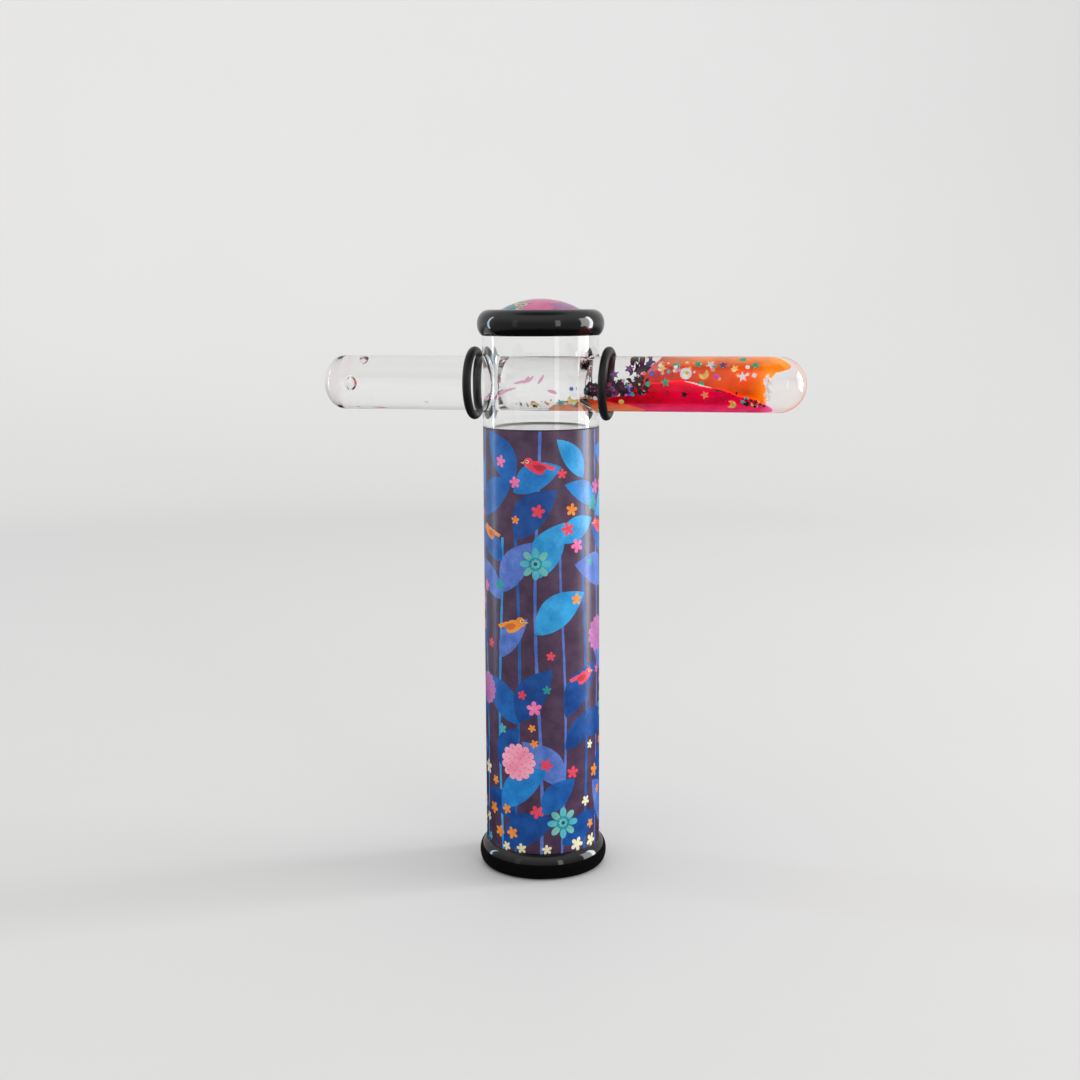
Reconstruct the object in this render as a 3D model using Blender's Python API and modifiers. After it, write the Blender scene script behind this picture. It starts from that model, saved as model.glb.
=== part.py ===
"""Wand kaleidoscope: a printed tube with three mirrors, a clear holder, and a glitter wand through it.

Units are metres. +Z runs up the barrel, and +X runs along the wand towards its closed end. The origin
is the middle of the whole object's footprint, on the plane that the eyepiece cap stands on.
"""

from math import acos, cos, degrees, pi, radians, sin, sqrt

import bmesh
import bpy
from mathutils import Matrix

MM = 0.001
MERGE = 0.0001
GAP = 0.3 * MM

# Barrel, from the outside in.
BARREL_RADIUS = 17.15 * MM
WRAP_THICKNESS = 0.25 * MM
TUBE_WALL = 1.6 * MM
TUBE_OUTER = BARREL_RADIUS - WRAP_THICKNESS - GAP
TUBE_INNER = TUBE_OUTER - TUBE_WALL
INSERT_RADIUS = TUBE_INNER - GAP

# Heights up the barrel.
CAP_HEIGHT = 7.7 * MM
CAP_FLOOR = 2.0 * MM
PRINT_TOP = 133.3 * MM
CLEAR_TOP = 159.6 * MM
END_TOP = CLEAR_TOP + CAP_HEIGHT
END_ROOF = 2.3 * MM

# The two black caps have the same bulging side.
EYE_CAP_RADIUS = 19.25 * MM
END_CAP_RADIUS = 18.65 * MM
EYE_BULGE = (2.3 * MM, 3.85 * MM)
END_BULGE_UPPER = (3.4 * MM, 4.0 * MM)
END_BULGE_LOWER = (2.4 * MM, 3.8 * MM)
CAP_BORE = BARREL_RADIUS + GAP
EYE_HOLE = 4.5 * MM
EYE_DISH_RADIUS = 12.0 * MM
EYE_DISH_DEPTH = 1.0 * MM

# Clear holder above the printed tube.
HOLDER_BORE = 14.0 * MM
SPIGOT_BORE = 13.0 * MM
SPIGOT_LENGTH = 8.0 * MM
WINDOW_THICKNESS = 2.0 * MM
WINDOW_SEAT = PRINT_TOP - WINDOW_THICKNESS - GAP

# Mirrors: three strips that make a triangular prism.
MIRROR_WIDTH = 20.0 * MM
MIRROR_THICKNESS = 1.5 * MM
MIRROR_APOTHEM = (MIRROR_WIDTH / 2 + 0.35 * MM) / sqrt(3)
COLLAR_BORE = 12.8 * MM
COLLAR_HEIGHT = 8.0 * MM
EYE_WINDOW_THICKNESS = 1.0 * MM

# Domed picture in the end cap.
DOME_RADIUS = 12.0 * MM
DOME_SPHERE = 23.4 * MM
DOME_RISE = 3.1 * MM
DOME_EDGE = 0.2 * MM
PICTURE_THICKNESS = 0.3 * MM

# Wand, with distances along it counted from the barrel's axis.
WAND_Z = 145.8 * MM
WAND_RADIUS = 8.0 * MM
WAND_BORE = 6.8 * MM
WAND_LEFT = -66.4 * MM
WAND_RIGHT = 77.2 * MM
PLUG_DOME = 6.0 * MM
PLUG_SPIGOT = 6.0 * MM
HOLE_RADIUS = 8.4 * MM
BARREL_X = -(WAND_LEFT + WAND_RIGHT) / 2

# O-rings, either side of the holder.
RING_CORD = 1.2 * MM
RING_RADIUS = 9.5 * MM
RING_RIGHT = BARREL_RADIUS + RING_CORD + 1.25 * MM
RING_LEFT = -(BARREL_RADIUS + RING_CORD + 1.7 * MM)

# Coloured liquids and the glitter round them, inside the wand.
LIQUID_RADIUS = 5.7 * MM
FLAKE_RADIUS = 6.15 * MM
FLAKE_THICKNESS = 0.2 * MM

BARREL_STEPS = 48
WAND_STEPS = 32

# Side outlines of the liquids, as (distance along the wand, height over its axis) in millimetres.
LIQUIDS = {
    "orange_liquid": [
        (33.0, -0.4), (52.0, -0.5), (60.0, -2.2), (65.3, -4.4), (66.3, -1.0), (67.0, 2.0),
        (69.5, 4.2), (71.0, 6.5), (39.0, 6.5), (35.0, 3.4), (32.2, 1.4),
    ],
    "magenta_liquid": [
        (18.2, -2.0), (24.0, -1.5), (31.5, -0.9), (52.0, -1.0), (60.0, -2.8), (65.0, -5.0),
        (67.5, -5.3), (67.9, -6.5), (34.0, -6.5), (31.0, -5.0), (24.0, -3.7), (18.2, -2.9),
    ],
    "orange_liquid_low": [
        (2.6, -6.5), (4.0, -5.1), (9.0, -4.1), (14.0, -3.3), (18.0, -3.3), (24.0, -4.1),
        (30.0, -5.2), (32.0, -6.5),
    ],
}

# Glitter, as (name, shape, half width in mm, distance along the wand in mm, degrees up from the
# wand's front, turn in its own plane in degrees).
GLITTER = [
    ("star_green_1", "star", 1.45, 37.8, 7, 10),
    ("star_green_2", "star", 1.45, 46.8, 58, -12),
    ("star_green_3", "star", 1.45, 62.9, 55, 20),
    ("star_green_4", "star", 1.45, 40.6, 54, 32),
    ("star_silver_1", "star", 1.45, 50.3, 57, 40),
    ("star_white_1", "star", 1.55, 59.6, 22, 8),
    ("star_gold_1", "star", 1.3, 57.2, 45, 25),
    ("star_gold_2", "star", 1.4, 36.6, 44, -20),
    ("star_purple_1", "star", 1.35, 53.8, 56, 5),
    ("star_purple_2", "star", 1.45, 23.0, 26, 15),
    ("star_purple_3", "star", 1.45, 27.2, 44, -8),
    ("star_orange_1", "star", 1.3, 49.0, -24, 18),
    ("star_black_1", "star", 1.2, 43.2, -23, -15),
    ("star_teal_1", "star", 1.4, 6.7, -50, 22),
    ("moon_gold_1", "moon", 1.4, 48.6, 28, 120),
    ("moon_gold_2", "moon", 1.4, 56.3, -52, 170),
    ("moon_yellow_1", "moon", 1.4, 10.2, -40, 60),
    ("moon_navy_1", "moon", 1.45, 33.2, 58, -30),
    ("moon_blue_1", "moon", 1.4, 27.5, -14, 0),
    ("moon_purple_1", "moon", 1.4, 22.5, -18, 200),
    ("dot_silver_1", "dot", 1.7, 43.5, 30, 0),
    ("dot_pink_1", "dot", 0.8, 52.2, 22, 0),
    ("dot_green_1", "dot", 0.7, 48.0, 4, 0),
    ("dot_green_2", "dot", 1.1, 59.2, 80, 0),
    ("dot_blue_1", "dot", 0.7, 33.8, 30, 0),
    ("dot_blue_2", "dot", 0.55, 10.0, -10, 0),
    ("dot_gold_1", "dot", 0.8, 24.8, -46, 0),
]

GLITTER_COLOURS = {
    "green": (0.05, 0.45, 0.26),
    "silver": (0.72, 0.72, 0.75),
    "white": (0.88, 0.88, 0.9),
    "gold": (0.83, 0.56, 0.14),
    "purple": (0.26, 0.08, 0.3),
    "orange": (0.8, 0.3, 0.12),
    "black": (0.06, 0.03, 0.06),
    "teal": (0.03, 0.4, 0.36),
    "yellow": (0.86, 0.7, 0.3),
    "navy": (0.03, 0.05, 0.16),
    "blue": (0.04, 0.14, 0.55),
    "pink": (0.8, 0.08, 0.5),
}


def clear_scene():
    for obj in list(bpy.data.objects):
        bpy.data.objects.remove(obj, do_unlink=True)


def new_collection(name):
    group = bpy.data.collections.new(name)
    bpy.context.scene.collection.children.link(group)
    return group


def new_empty(name, group, location):
    obj = bpy.data.objects.new(name, None)
    obj.location = location
    group.objects.link(obj)
    return obj


def finish(name, colour, roughness=0.4, metallic=0.0, transmission=0.0):
    made = bpy.data.materials.new(name)
    made.use_nodes = True
    shader = made.node_tree.nodes["Principled BSDF"]
    shader.inputs["Base Color"].default_value = (*colour, 1.0)
    shader.inputs["Roughness"].default_value = roughness
    shader.inputs["Metallic"].default_value = metallic
    shader.inputs["Transmission Weight"].default_value = transmission
    return made


def place(obj, group, parent, material):
    group.objects.link(obj)
    obj.parent = parent
    if material is not None:
        obj.data.materials.append(material)
    return obj


def arc(centre, radii, start, end, count):
    """(radius, height) points on an ellipse between two angles in degrees: 0 is outwards, 90 is up."""
    points = []
    for i in range(count + 1):
        angle = radians(start + (end - start) * i / count)
        points.append((centre[0] + radii[0] * cos(angle), centre[1] + radii[1] * sin(angle)))
    return points


def turned(name, profile, steps, loop=True):
    """A solid of revolution about local Z. The profile runs down its outer side, then back up the inside.

    With loop off, the profile starts and ends on the axis."""
    points = [(radius, 0.0, height) for radius, height in profile]
    edges = [(i, i + 1) for i in range(len(points) - 1)]
    if loop:
        edges.append((len(points) - 1, 0))
    mesh = bpy.data.meshes.new(name)
    mesh.from_pydata(points, edges, [])
    obj = bpy.data.objects.new(name, mesh)
    screw = obj.modifiers.new("Screw", "SCREW")
    screw.steps = steps
    screw.render_steps = steps
    screw.use_merge_vertices = True
    screw.merge_threshold = MERGE
    return obj


def tube(name, outer, inner, low, high, steps=BARREL_STEPS):
    return turned(name, [(outer, high), (outer, low), (inner, low), (inner, high)], steps)


def disc(name, radius, low, high, steps=BARREL_STEPS):
    return turned(name, [(0, high), (radius, high), (radius, low), (0, low)], steps, loop=False)


def as_cutter(obj, group):
    group.objects.link(obj)
    obj.hide_render = True
    obj.display_type = "WIRE"
    return obj


def boolean(obj, operation, cutter):
    modifier = obj.modifiers.new("Boolean", "BOOLEAN")
    modifier.operation = operation
    modifier.solver = "EXACT"
    modifier.object = cutter


# The angle on a cap's bulge at which it meets the bore that the barrel sits in.
def lip_angle(cap_radius, bulge):
    """Where the bulge meets the bore, in degrees round from its outermost point."""
    return degrees(acos((CAP_BORE - (cap_radius - bulge[0])) / bulge[0]))


def eyepiece_cap():
    """A black cup round the tube's foot, with a shallow dish and a peephole in its floor."""
    centre = (EYE_CAP_RADIUS - EYE_BULGE[0], EYE_BULGE[1])
    bulge = arc(centre, EYE_BULGE, lip_angle(EYE_CAP_RADIUS, EYE_BULGE), -90, 14)
    inside = [
        (EYE_DISH_RADIUS, 0),
        (EYE_HOLE, EYE_DISH_DEPTH),
        (EYE_HOLE, CAP_FLOOR),
        (CAP_BORE, CAP_FLOOR),
    ]
    return turned("eyepiece_cap", bulge + inside, BARREL_STEPS)


def end_cap():
    """A black cap over the holder's open end, with a round recess for the domed picture."""
    recess = END_TOP - DOME_EDGE - PICTURE_THICKNESS - 2 * GAP
    widest = END_TOP - END_BULGE_UPPER[1]
    upper = arc((END_CAP_RADIUS - END_BULGE_UPPER[0], widest), END_BULGE_UPPER, 90, 0, 8)
    lip = lip_angle(END_CAP_RADIUS, END_BULGE_LOWER)
    lower = arc((END_CAP_RADIUS - END_BULGE_LOWER[0], widest), END_BULGE_LOWER, 0, -lip, 6)
    top = [(0, recess), (DOME_RADIUS + GAP, recess), (DOME_RADIUS + GAP, END_TOP)]
    under = [(CAP_BORE, END_TOP - END_ROOF), (0, END_TOP - END_ROOF)]
    return turned("end_cap", top + upper + lower[1:] + under, BARREL_STEPS, loop=False)


def picture_disc():
    top = END_TOP - DOME_EDGE - GAP
    return disc("picture_disc", DOME_RADIUS, top - PICTURE_THICKNESS, top)


def dome_disc():
    """A clear domed button over the picture."""
    base = END_TOP - DOME_EDGE
    centre = END_TOP + DOME_RISE - DOME_SPHERE
    rim = degrees(acos(DOME_RADIUS / DOME_SPHERE))
    dome = arc((0, centre), (DOME_SPHERE, DOME_SPHERE), 90, rim, 8)
    return turned("dome_disc", dome + [(DOME_RADIUS, base), (0, base)], BARREL_STEPS, loop=False)


def wand_holder(cutters):
    """The clear upper barrel, with a spigot into the tube and a round hole through both sides."""
    shoulder = PRINT_TOP + GAP
    foot = shoulder - SPIGOT_LENGTH
    top = END_TOP - END_ROOF - GAP
    profile = [
        (BARREL_RADIUS, top),
        (BARREL_RADIUS, shoulder),
        (INSERT_RADIUS, shoulder),
        (INSERT_RADIUS, foot),
        (SPIGOT_BORE, foot),
        (SPIGOT_BORE, WINDOW_SEAT - GAP),
        (HOLDER_BORE, WINDOW_SEAT - GAP),
        (HOLDER_BORE, top),
    ]
    obj = turned("wand_holder", profile, BARREL_STEPS)
    hole = as_cutter(disc("cross_hole", HOLE_RADIUS, -2 * EYE_CAP_RADIUS, 2 * EYE_CAP_RADIUS, 40), cutters)
    hole.location = (BARREL_X, 0, WAND_Z)
    hole.rotation_euler = (0, pi / 2, 0)
    boolean(obj, "DIFFERENCE", hole)
    return obj


def mirrors():
    """Three strips round the tube's axis, with their mirrored faces towards it."""
    low = CAP_FLOOR + GAP + EYE_WINDOW_THICKNESS + GAP
    high = WINDOW_SEAT - GAP
    made = []
    for number in range(3):
        name = f"mirror_{number + 1}"
        mesh = bpy.data.meshes.new(name)
        shape = bmesh.new()
        size = Matrix.Diagonal((MIRROR_WIDTH, MIRROR_THICKNESS, high - low, 1))
        bmesh.ops.create_cube(shape, size=1, matrix=size)
        shape.to_mesh(mesh)
        shape.free()
        obj = bpy.data.objects.new(name, mesh)
        angle = radians(120 * number)
        distance = MIRROR_APOTHEM + MIRROR_THICKNESS / 2
        obj.location = (-distance * sin(angle), distance * cos(angle), (low + high) / 2)
        obj.rotation_euler = (0, 0, angle)
        made.append(obj)
    return made


def wand_tube():
    """The clear wand: open at the left for its plug, closed by a hemisphere at the right."""
    centre = WAND_RIGHT - WAND_RADIUS
    left = WAND_LEFT + PLUG_DOME + GAP
    outer = arc((0, centre), (WAND_RADIUS, WAND_RADIUS), 90, 0, 10) + [(WAND_RADIUS, left)]
    inner = [(WAND_BORE, left)] + arc((0, centre), (WAND_BORE, WAND_BORE), 0, 90, 8)
    return turned("wand_tube", outer + inner, WAND_STEPS, loop=False)


def wand_plug():
    """The clear domed plug in the wand's left end."""
    joint = WAND_LEFT + PLUG_DOME
    radius = WAND_BORE - GAP
    spigot = [(0, joint + PLUG_SPIGOT), (radius, joint + PLUG_SPIGOT), (radius, joint)]
    dome = arc((0, joint), (WAND_RADIUS, PLUG_DOME), 0, -90, 8)
    return turned("wand_plug", spigot + dome, WAND_STEPS, loop=False)


def o_ring(name, distance, group, parent, material):
    bpy.ops.mesh.primitive_torus_add(
        major_radius=RING_RADIUS, minor_radius=RING_CORD, major_segments=36, minor_segments=10
    )
    obj = bpy.context.active_object
    obj.name = name
    obj.data.shade_smooth()
    bpy.context.collection.objects.unlink(obj)
    obj.location = (distance, 0, 0)
    obj.rotation_euler = (0, pi / 2, 0)
    return place(obj, group, parent, material)


def outline(name, points, half_thickness):
    """A flat piece from its outline in the XY plane, as a 2D curve."""
    curve = bpy.data.curves.new(name, "CURVE")
    curve.dimensions = "2D"
    curve.fill_mode = "BOTH"
    curve.extrude = half_thickness
    spline = curve.splines.new("POLY")
    spline.points.add(len(points) - 1)
    for point, (x, y) in zip(spline.points, points):
        point.co = (x, y, 0, 1)
    spline.use_cyclic_u = True
    return bpy.data.objects.new(name, curve)


def curve_to_mesh(obj, group):
    """The same piece as a closed mesh, which a Boolean can use."""
    group.objects.link(obj)
    bpy.context.view_layer.update()
    graph = bpy.context.evaluated_depsgraph_get()
    mesh = bpy.data.meshes.new_from_object(obj.evaluated_get(graph))
    shape = bmesh.new()
    shape.from_mesh(mesh)
    bmesh.ops.remove_doubles(shape, verts=shape.verts, dist=MERGE)
    bmesh.ops.recalc_face_normals(shape, faces=shape.faces)
    shape.to_mesh(mesh)
    shape.free()
    made = bpy.data.objects.new(obj.name + "_solid", mesh)
    made.matrix_world = obj.matrix_world.copy()
    bpy.data.objects.remove(obj, do_unlink=True)
    return made


def liquid(name, cutters):
    """A coloured liquid: its side outline, rounded by the wand's bore."""
    points = [(x * MM, z * MM) for x, z in LIQUIDS[name]]
    side = outline(name + "_outline", points, 2 * WAND_RADIUS)
    side.location = (BARREL_X, 0, WAND_Z)
    side.rotation_euler = (pi / 2, 0, 0)
    cutter = as_cutter(curve_to_mesh(side, cutters), cutters)
    low = min(x for x, _ in points) - WAND_RADIUS
    centre = WAND_RIGHT - WAND_RADIUS
    end = arc((0, centre), (LIQUID_RADIUS, LIQUID_RADIUS), 90, 0, 6)
    obj = turned(name, end + [(LIQUID_RADIUS, low), (0, low)], 24, loop=False)
    boolean(obj, "INTERSECT", cutter)
    return obj


def star_points(size):
    points = []
    for i in range(10):
        radius = size if i % 2 == 0 else 0.42 * size
        angle = pi / 2 + i * pi / 5
        points.append((radius * cos(angle), radius * sin(angle)))
    return points


def moon_points(size):
    """A crescent between the outer circle and a smaller one set to one side."""
    horn = radians(50)
    inner = size * sin(horn)
    points = []
    for i in range(11):
        angle = horn + (2 * pi - 2 * horn) * i / 10
        points.append((size * cos(angle), size * sin(angle)))
    for i in range(1, 6):
        angle = -pi / 2 - pi * i / 6
        points.append((size * cos(horn) + 0.75 * inner * cos(angle), inner * sin(angle)))
    return points


def dot_points(size):
    return [(size * cos(i * pi / 6), size * sin(i * pi / 6)) for i in range(12)]


FLAKE_SHAPES = {"star": star_points, "moon": moon_points, "dot": dot_points}


def flake(name, shape, size, distance, up, turn):
    """A flat flake of glitter that lies against the wand's bore."""
    obj = outline("glitter_" + name, FLAKE_SHAPES[shape](size * MM), FLAKE_THICKNESS / 2)
    angle = radians(up)
    obj.location = (distance * MM, -FLAKE_RADIUS * cos(angle), FLAKE_RADIUS * sin(angle))
    obj.rotation_mode = "ZYX"
    obj.rotation_euler = (pi / 2 - angle, 0, radians(turn))
    return obj


def add_barrel(parts, cutters, axis):
    black = finish("black_plastic", (0.006, 0.006, 0.007), roughness=0.12)
    clear = finish("clear_plastic", (0.95, 0.97, 0.98), roughness=0.03, transmission=1.0)
    card = finish("grey_card", (0.42, 0.38, 0.34), roughness=0.85)
    printed = finish("printed_paper", (0.17, 0.07, 0.22), roughness=0.35)
    picture = finish("printed_picture", (0.7, 0.2, 0.42), roughness=0.4)
    foam = finish("black_foam", (0.02, 0.02, 0.02), roughness=0.95)
    mirror = finish("mirror", (0.9, 0.9, 0.92), roughness=0.02, metallic=1.0)
    foot = CAP_FLOOR + GAP
    mirror_low = foot + EYE_WINDOW_THICKNESS + GAP
    wrap_inner = BARREL_RADIUS - WRAP_THICKNESS
    collar_high = PRINT_TOP - SPIGOT_LENGTH - 2 * COLLAR_HEIGHT
    window = disc("object_window", HOLDER_BORE - GAP, WINDOW_SEAT, WINDOW_SEAT + WINDOW_THICKNESS)
    eye_window = disc("eyepiece_window", INSERT_RADIUS, foot, foot + EYE_WINDOW_THICKNESS)
    pieces = [
        (eyepiece_cap(), black),
        (eye_window, clear),
        (tube("body_tube", TUBE_OUTER, TUBE_INNER, foot, PRINT_TOP), card),
        (tube("printed_wrap", BARREL_RADIUS, wrap_inner, foot, PRINT_TOP), printed),
        (tube("foam_collar_lower", INSERT_RADIUS, COLLAR_BORE, mirror_low, mirror_low + COLLAR_HEIGHT), foam),
        (tube("foam_collar_upper", INSERT_RADIUS, COLLAR_BORE, collar_high, collar_high + COLLAR_HEIGHT), foam),
        (window, clear),
        (wand_holder(cutters), clear),
        (end_cap(), black),
        (picture_disc(), picture),
        (dome_disc(), clear),
    ]
    pieces += [(strip, mirror) for strip in mirrors()]
    for obj, material in pieces:
        place(obj, parts, axis, material)


def add_wand(parts, cutters, axis):
    rubber = finish("black_rubber", (0.012, 0.012, 0.012), roughness=0.35)
    clear = finish("wand_plastic", (0.97, 0.97, 0.98), roughness=0.02, transmission=1.0)
    orange = finish("orange_liquid", (0.95, 0.3, 0.02), roughness=0.1)
    magenta = finish("magenta_liquid", (0.82, 0.005, 0.12), roughness=0.1)
    o_ring("o_ring_left", RING_LEFT, parts, axis, rubber)
    o_ring("o_ring_right", RING_RIGHT, parts, axis, rubber)
    coloured = {"orange_liquid": orange, "magenta_liquid": magenta, "orange_liquid_low": orange}
    along = [(wand_tube(), clear), (wand_plug(), clear)]
    along += [(liquid(name, cutters), material) for name, material in coloured.items()]
    for obj, material in along:
        obj.rotation_euler = (0, pi / 2, 0)
        place(obj, parts, axis, material)


def add_glitter(parts, axis):
    foils = {
        name: finish("foil_" + name, colour, roughness=0.25, metallic=0.7)
        for name, colour in GLITTER_COLOURS.items()
    }
    for row in GLITTER:
        place(flake(*row), parts, axis, foils[row[0].split("_")[1]])


def main():
    clear_scene()
    parts = new_collection("kaleidoscope")
    cutters = new_collection("cutters")
    barrel_axis = new_empty("barrel_axis", parts, (BARREL_X, 0, 0))
    wand_axis = new_empty("wand_axis", parts, (BARREL_X, 0, WAND_Z))
    add_barrel(parts, cutters, barrel_axis)
    add_wand(parts, cutters, wand_axis)
    add_glitter(parts, wand_axis)


main()
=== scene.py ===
"""Wand kaleidoscope: the looks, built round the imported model.

Sizes are in metres and come from the model's own nodes. Distances along the wand are counted from
the barrel's axis, and places on the print are (arc, height) in millimetres, with arc 0 at the front.
"""

import random
from math import acos, asin, cos, degrees, pi, radians, sin, sqrt
from typing import NamedTuple

import bmesh
import bpy
from mathutils import Matrix, Vector, noise
from mathutils.geometry import delaunay_2d_cdt


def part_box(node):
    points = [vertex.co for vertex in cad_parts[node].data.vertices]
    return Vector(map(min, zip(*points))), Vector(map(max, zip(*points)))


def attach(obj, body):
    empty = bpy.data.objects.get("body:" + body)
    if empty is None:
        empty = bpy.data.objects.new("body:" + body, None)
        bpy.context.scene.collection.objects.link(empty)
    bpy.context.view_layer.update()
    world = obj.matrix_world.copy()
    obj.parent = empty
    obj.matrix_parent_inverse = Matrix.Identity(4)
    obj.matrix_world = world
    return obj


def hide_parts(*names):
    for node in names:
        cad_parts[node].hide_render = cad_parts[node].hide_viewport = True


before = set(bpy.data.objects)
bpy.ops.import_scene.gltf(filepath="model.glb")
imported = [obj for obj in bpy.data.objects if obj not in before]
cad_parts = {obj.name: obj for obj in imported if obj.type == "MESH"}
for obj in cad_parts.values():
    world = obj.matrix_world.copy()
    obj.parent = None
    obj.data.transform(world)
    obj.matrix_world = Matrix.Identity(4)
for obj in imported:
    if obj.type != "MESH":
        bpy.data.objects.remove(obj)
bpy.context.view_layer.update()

MM = 0.001
BARREL, RINGS, WAND = "barrel", "stop_rings", "wand"

# Places read from the model.
wrap_low, wrap_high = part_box("printed_wrap")
BARREL_X = (wrap_low.x + wrap_high.x) / 2
BARREL_RADIUS = (wrap_high.x - wrap_low.x) / 2
PRINT_TOP = wrap_high.z
tube_low, tube_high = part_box("wand_tube")
plug_low, plug_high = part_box("wand_plug")
WAND_Z = (tube_low.z + tube_high.z) / 2
WAND_LEFT = plug_low.x - BARREL_X
WAND_RIGHT = tube_high.x - BARREL_X
PLUG_JOINT = tube_low.x - BARREL_X
PLUG_END = plug_high.x - BARREL_X
EYE_LOW, EYE_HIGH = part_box("eyepiece_cap")
END_LOW, END_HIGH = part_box("end_cap")
HOLDER_LOW, HOLDER_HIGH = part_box("wand_holder")
_, DOME_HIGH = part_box("dome_disc")
PICTURE_LOW, PICTURE_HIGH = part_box("picture_disc")

EYE_CAP_RADIUS = (EYE_HIGH.x - EYE_LOW.x) / 2
END_CAP_RADIUS = (END_HIGH.x - END_LOW.x) / 2

# Sizes that the model's boxes don't give.
EYE_BULGE = (2.3 * MM, 3.85 * MM)
END_BULGE_UPPER = (3.4 * MM, 4.0 * MM)
END_BULGE_LOWER = (2.4 * MM, 3.8 * MM)
CAP_FLOOR = 2.0 * MM
CAP_BORE = BARREL_RADIUS + 0.05 * MM
EYE_HOLE = 4.5 * MM
EYE_DISH_RADIUS = 12.0 * MM
EYE_DISH_DEPTH = 1.0 * MM
DOME_RADIUS = 12.0 * MM
DOME_CURVE = 23.4 * MM
HOLDER_BORE = 14.0 * MM
HOLE_RADIUS = 8.25 * MM
HOLE_FLARE = 0.35 * MM
SPIGOT_BORE = 13.0 * MM
SPIGOT_RADIUS = 14.7 * MM
SHOULDER = PRINT_TOP + 0.15 * MM
WINDOW_SEAT = PRINT_TOP - 2.6 * MM
WAND_RADIUS = 8.0 * MM
BORE_RADIUS = 6.8 * MM
RING_CORD = 1.28 * MM
PAPER_THICKNESS = 0.2 * MM
PICTURE_THICKNESS = 0.3 * MM
WELD_DISTANCE = 0.002 * MM

# Camera.
CAMERA_AZIMUTH = radians(12.6)
CAMERA_DISTANCE = 0.465
CAMERA_ASIDE = -0.0005
CAMERA_HEIGHT = 0.1698
CAMERA_PITCH = radians(8.63)
CAMERA_ROLL = radians(-0.29)
CAMERA_LENS = 52.57


# Meshes ---------------------------------------------------------------------------------------


def new_object(name, verts, faces, body=None, material=None):
    mesh = bpy.data.meshes.new(name)
    mesh.from_pydata([tuple(v) for v in verts], [], faces)
    mesh.update()
    obj = bpy.data.objects.new(name, mesh)
    bpy.context.scene.collection.objects.link(obj)
    if material is not None:
        mesh.materials.append(material)
    if body is not None:
        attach(obj, body)
    return obj


def angles(count):
    """Even steps round a full turn."""
    return [2 * pi * i / count for i in range(count)]


def arc(centre, radii, start, end, count):
    """(radius, height) points on an ellipse between two angles in degrees: 0 is outwards, 90 is up."""
    points = []
    for i in range(count + 1):
        angle = radians(start + (end - start) * i / count)
        points.append((centre[0] + radii[0] * cos(angle), centre[1] + radii[1] * sin(angle)))
    return points


def lathe(name, profile, body, material, steps=128, loop=False, along_x=False, sharp=40):
    """A solid of revolution from (radius, height) points down its outer side, about the barrel or the wand."""
    verts, rows = [], []
    for radius, height in profile:
        if radius < 1e-7:
            rows.append([len(verts)])
            verts.append((0.0, 0.0, height))
            continue
        rows.append([len(verts) + i for i in range(steps)])
        verts.extend((radius * cos(angle), radius * sin(angle), height) for angle in angles(steps))
    faces = []
    pairs = list(zip(rows, rows[1:]))
    if loop:
        pairs.append((rows[-1], rows[0]))
    for upper, lower in pairs:
        for i in range(steps):
            j = (i + 1) % steps
            if len(upper) == 1 and len(lower) == 1:
                break
            if len(upper) == 1:
                faces.append((upper[0], lower[i], lower[j]))
            elif len(lower) == 1:
                faces.append((upper[i], lower[0], upper[j]))
            else:
                faces.append((upper[i], lower[i], lower[j], upper[j]))
    if along_x:
        verts = [(BARREL_X + z, y, WAND_Z - x) for x, y, z in verts]
    else:
        verts = [(BARREL_X + x, y, z) for x, y, z in verts]
    obj = new_object(name, verts, faces, body, material)
    obj.data.shade_smooth()
    obj.data.set_sharp_from_angle(angle=radians(sharp))
    return obj


# Materials ------------------------------------------------------------------------------------


# The Mix node repeats its sockets' names for each kind of value, so those for colours go by number.
MIX_FACTOR, MIX_A, MIX_B, MIX_COLOUR = 0, 6, 7, 2


class Tree:
    """A node tree, with short ways to add to it. A value is a number, or another node's output."""

    def __init__(self, tree):
        self.tree = tree

    def add(self, kind, **settings):
        node = self.tree.nodes.new(kind)
        for key, value in settings.items():
            setattr(node, key, value)
        return node

    def link(self, source, target):
        self.tree.links.new(source, target)

    def fill(self, socket, value):
        if isinstance(value, bpy.types.NodeSocket):
            self.link(value, socket)
        else:
            socket.default_value = value

    def spread(self, value, low, high, to_low=0.0, to_high=1.0, curve="LINEAR"):
        """A value from low to high, mapped to the range from to_low to to_high."""
        node = self.add("ShaderNodeMapRange", interpolation_type=curve)
        numbers = {"From Min": low, "From Max": high, "To Min": to_low, "To Max": to_high}
        for key, number in numbers.items():
            node.inputs[key].default_value = number
        self.link(value, node.inputs["Value"])
        return node.outputs["Result"]

    def math(self, operation, first, second, clamp=False):
        node = self.add("ShaderNodeMath", operation=operation, use_clamp=clamp)
        self.fill(node.inputs[0], first)
        self.fill(node.inputs[1], second)
        return node.outputs["Value"]

    def mix_numbers(self, factor, first, second):
        node = self.add("ShaderNodeMix")
        for key, value in (("Factor", factor), ("A", first), ("B", second)):
            self.fill(node.inputs[key], value)
        return node.outputs["Result"]


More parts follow.
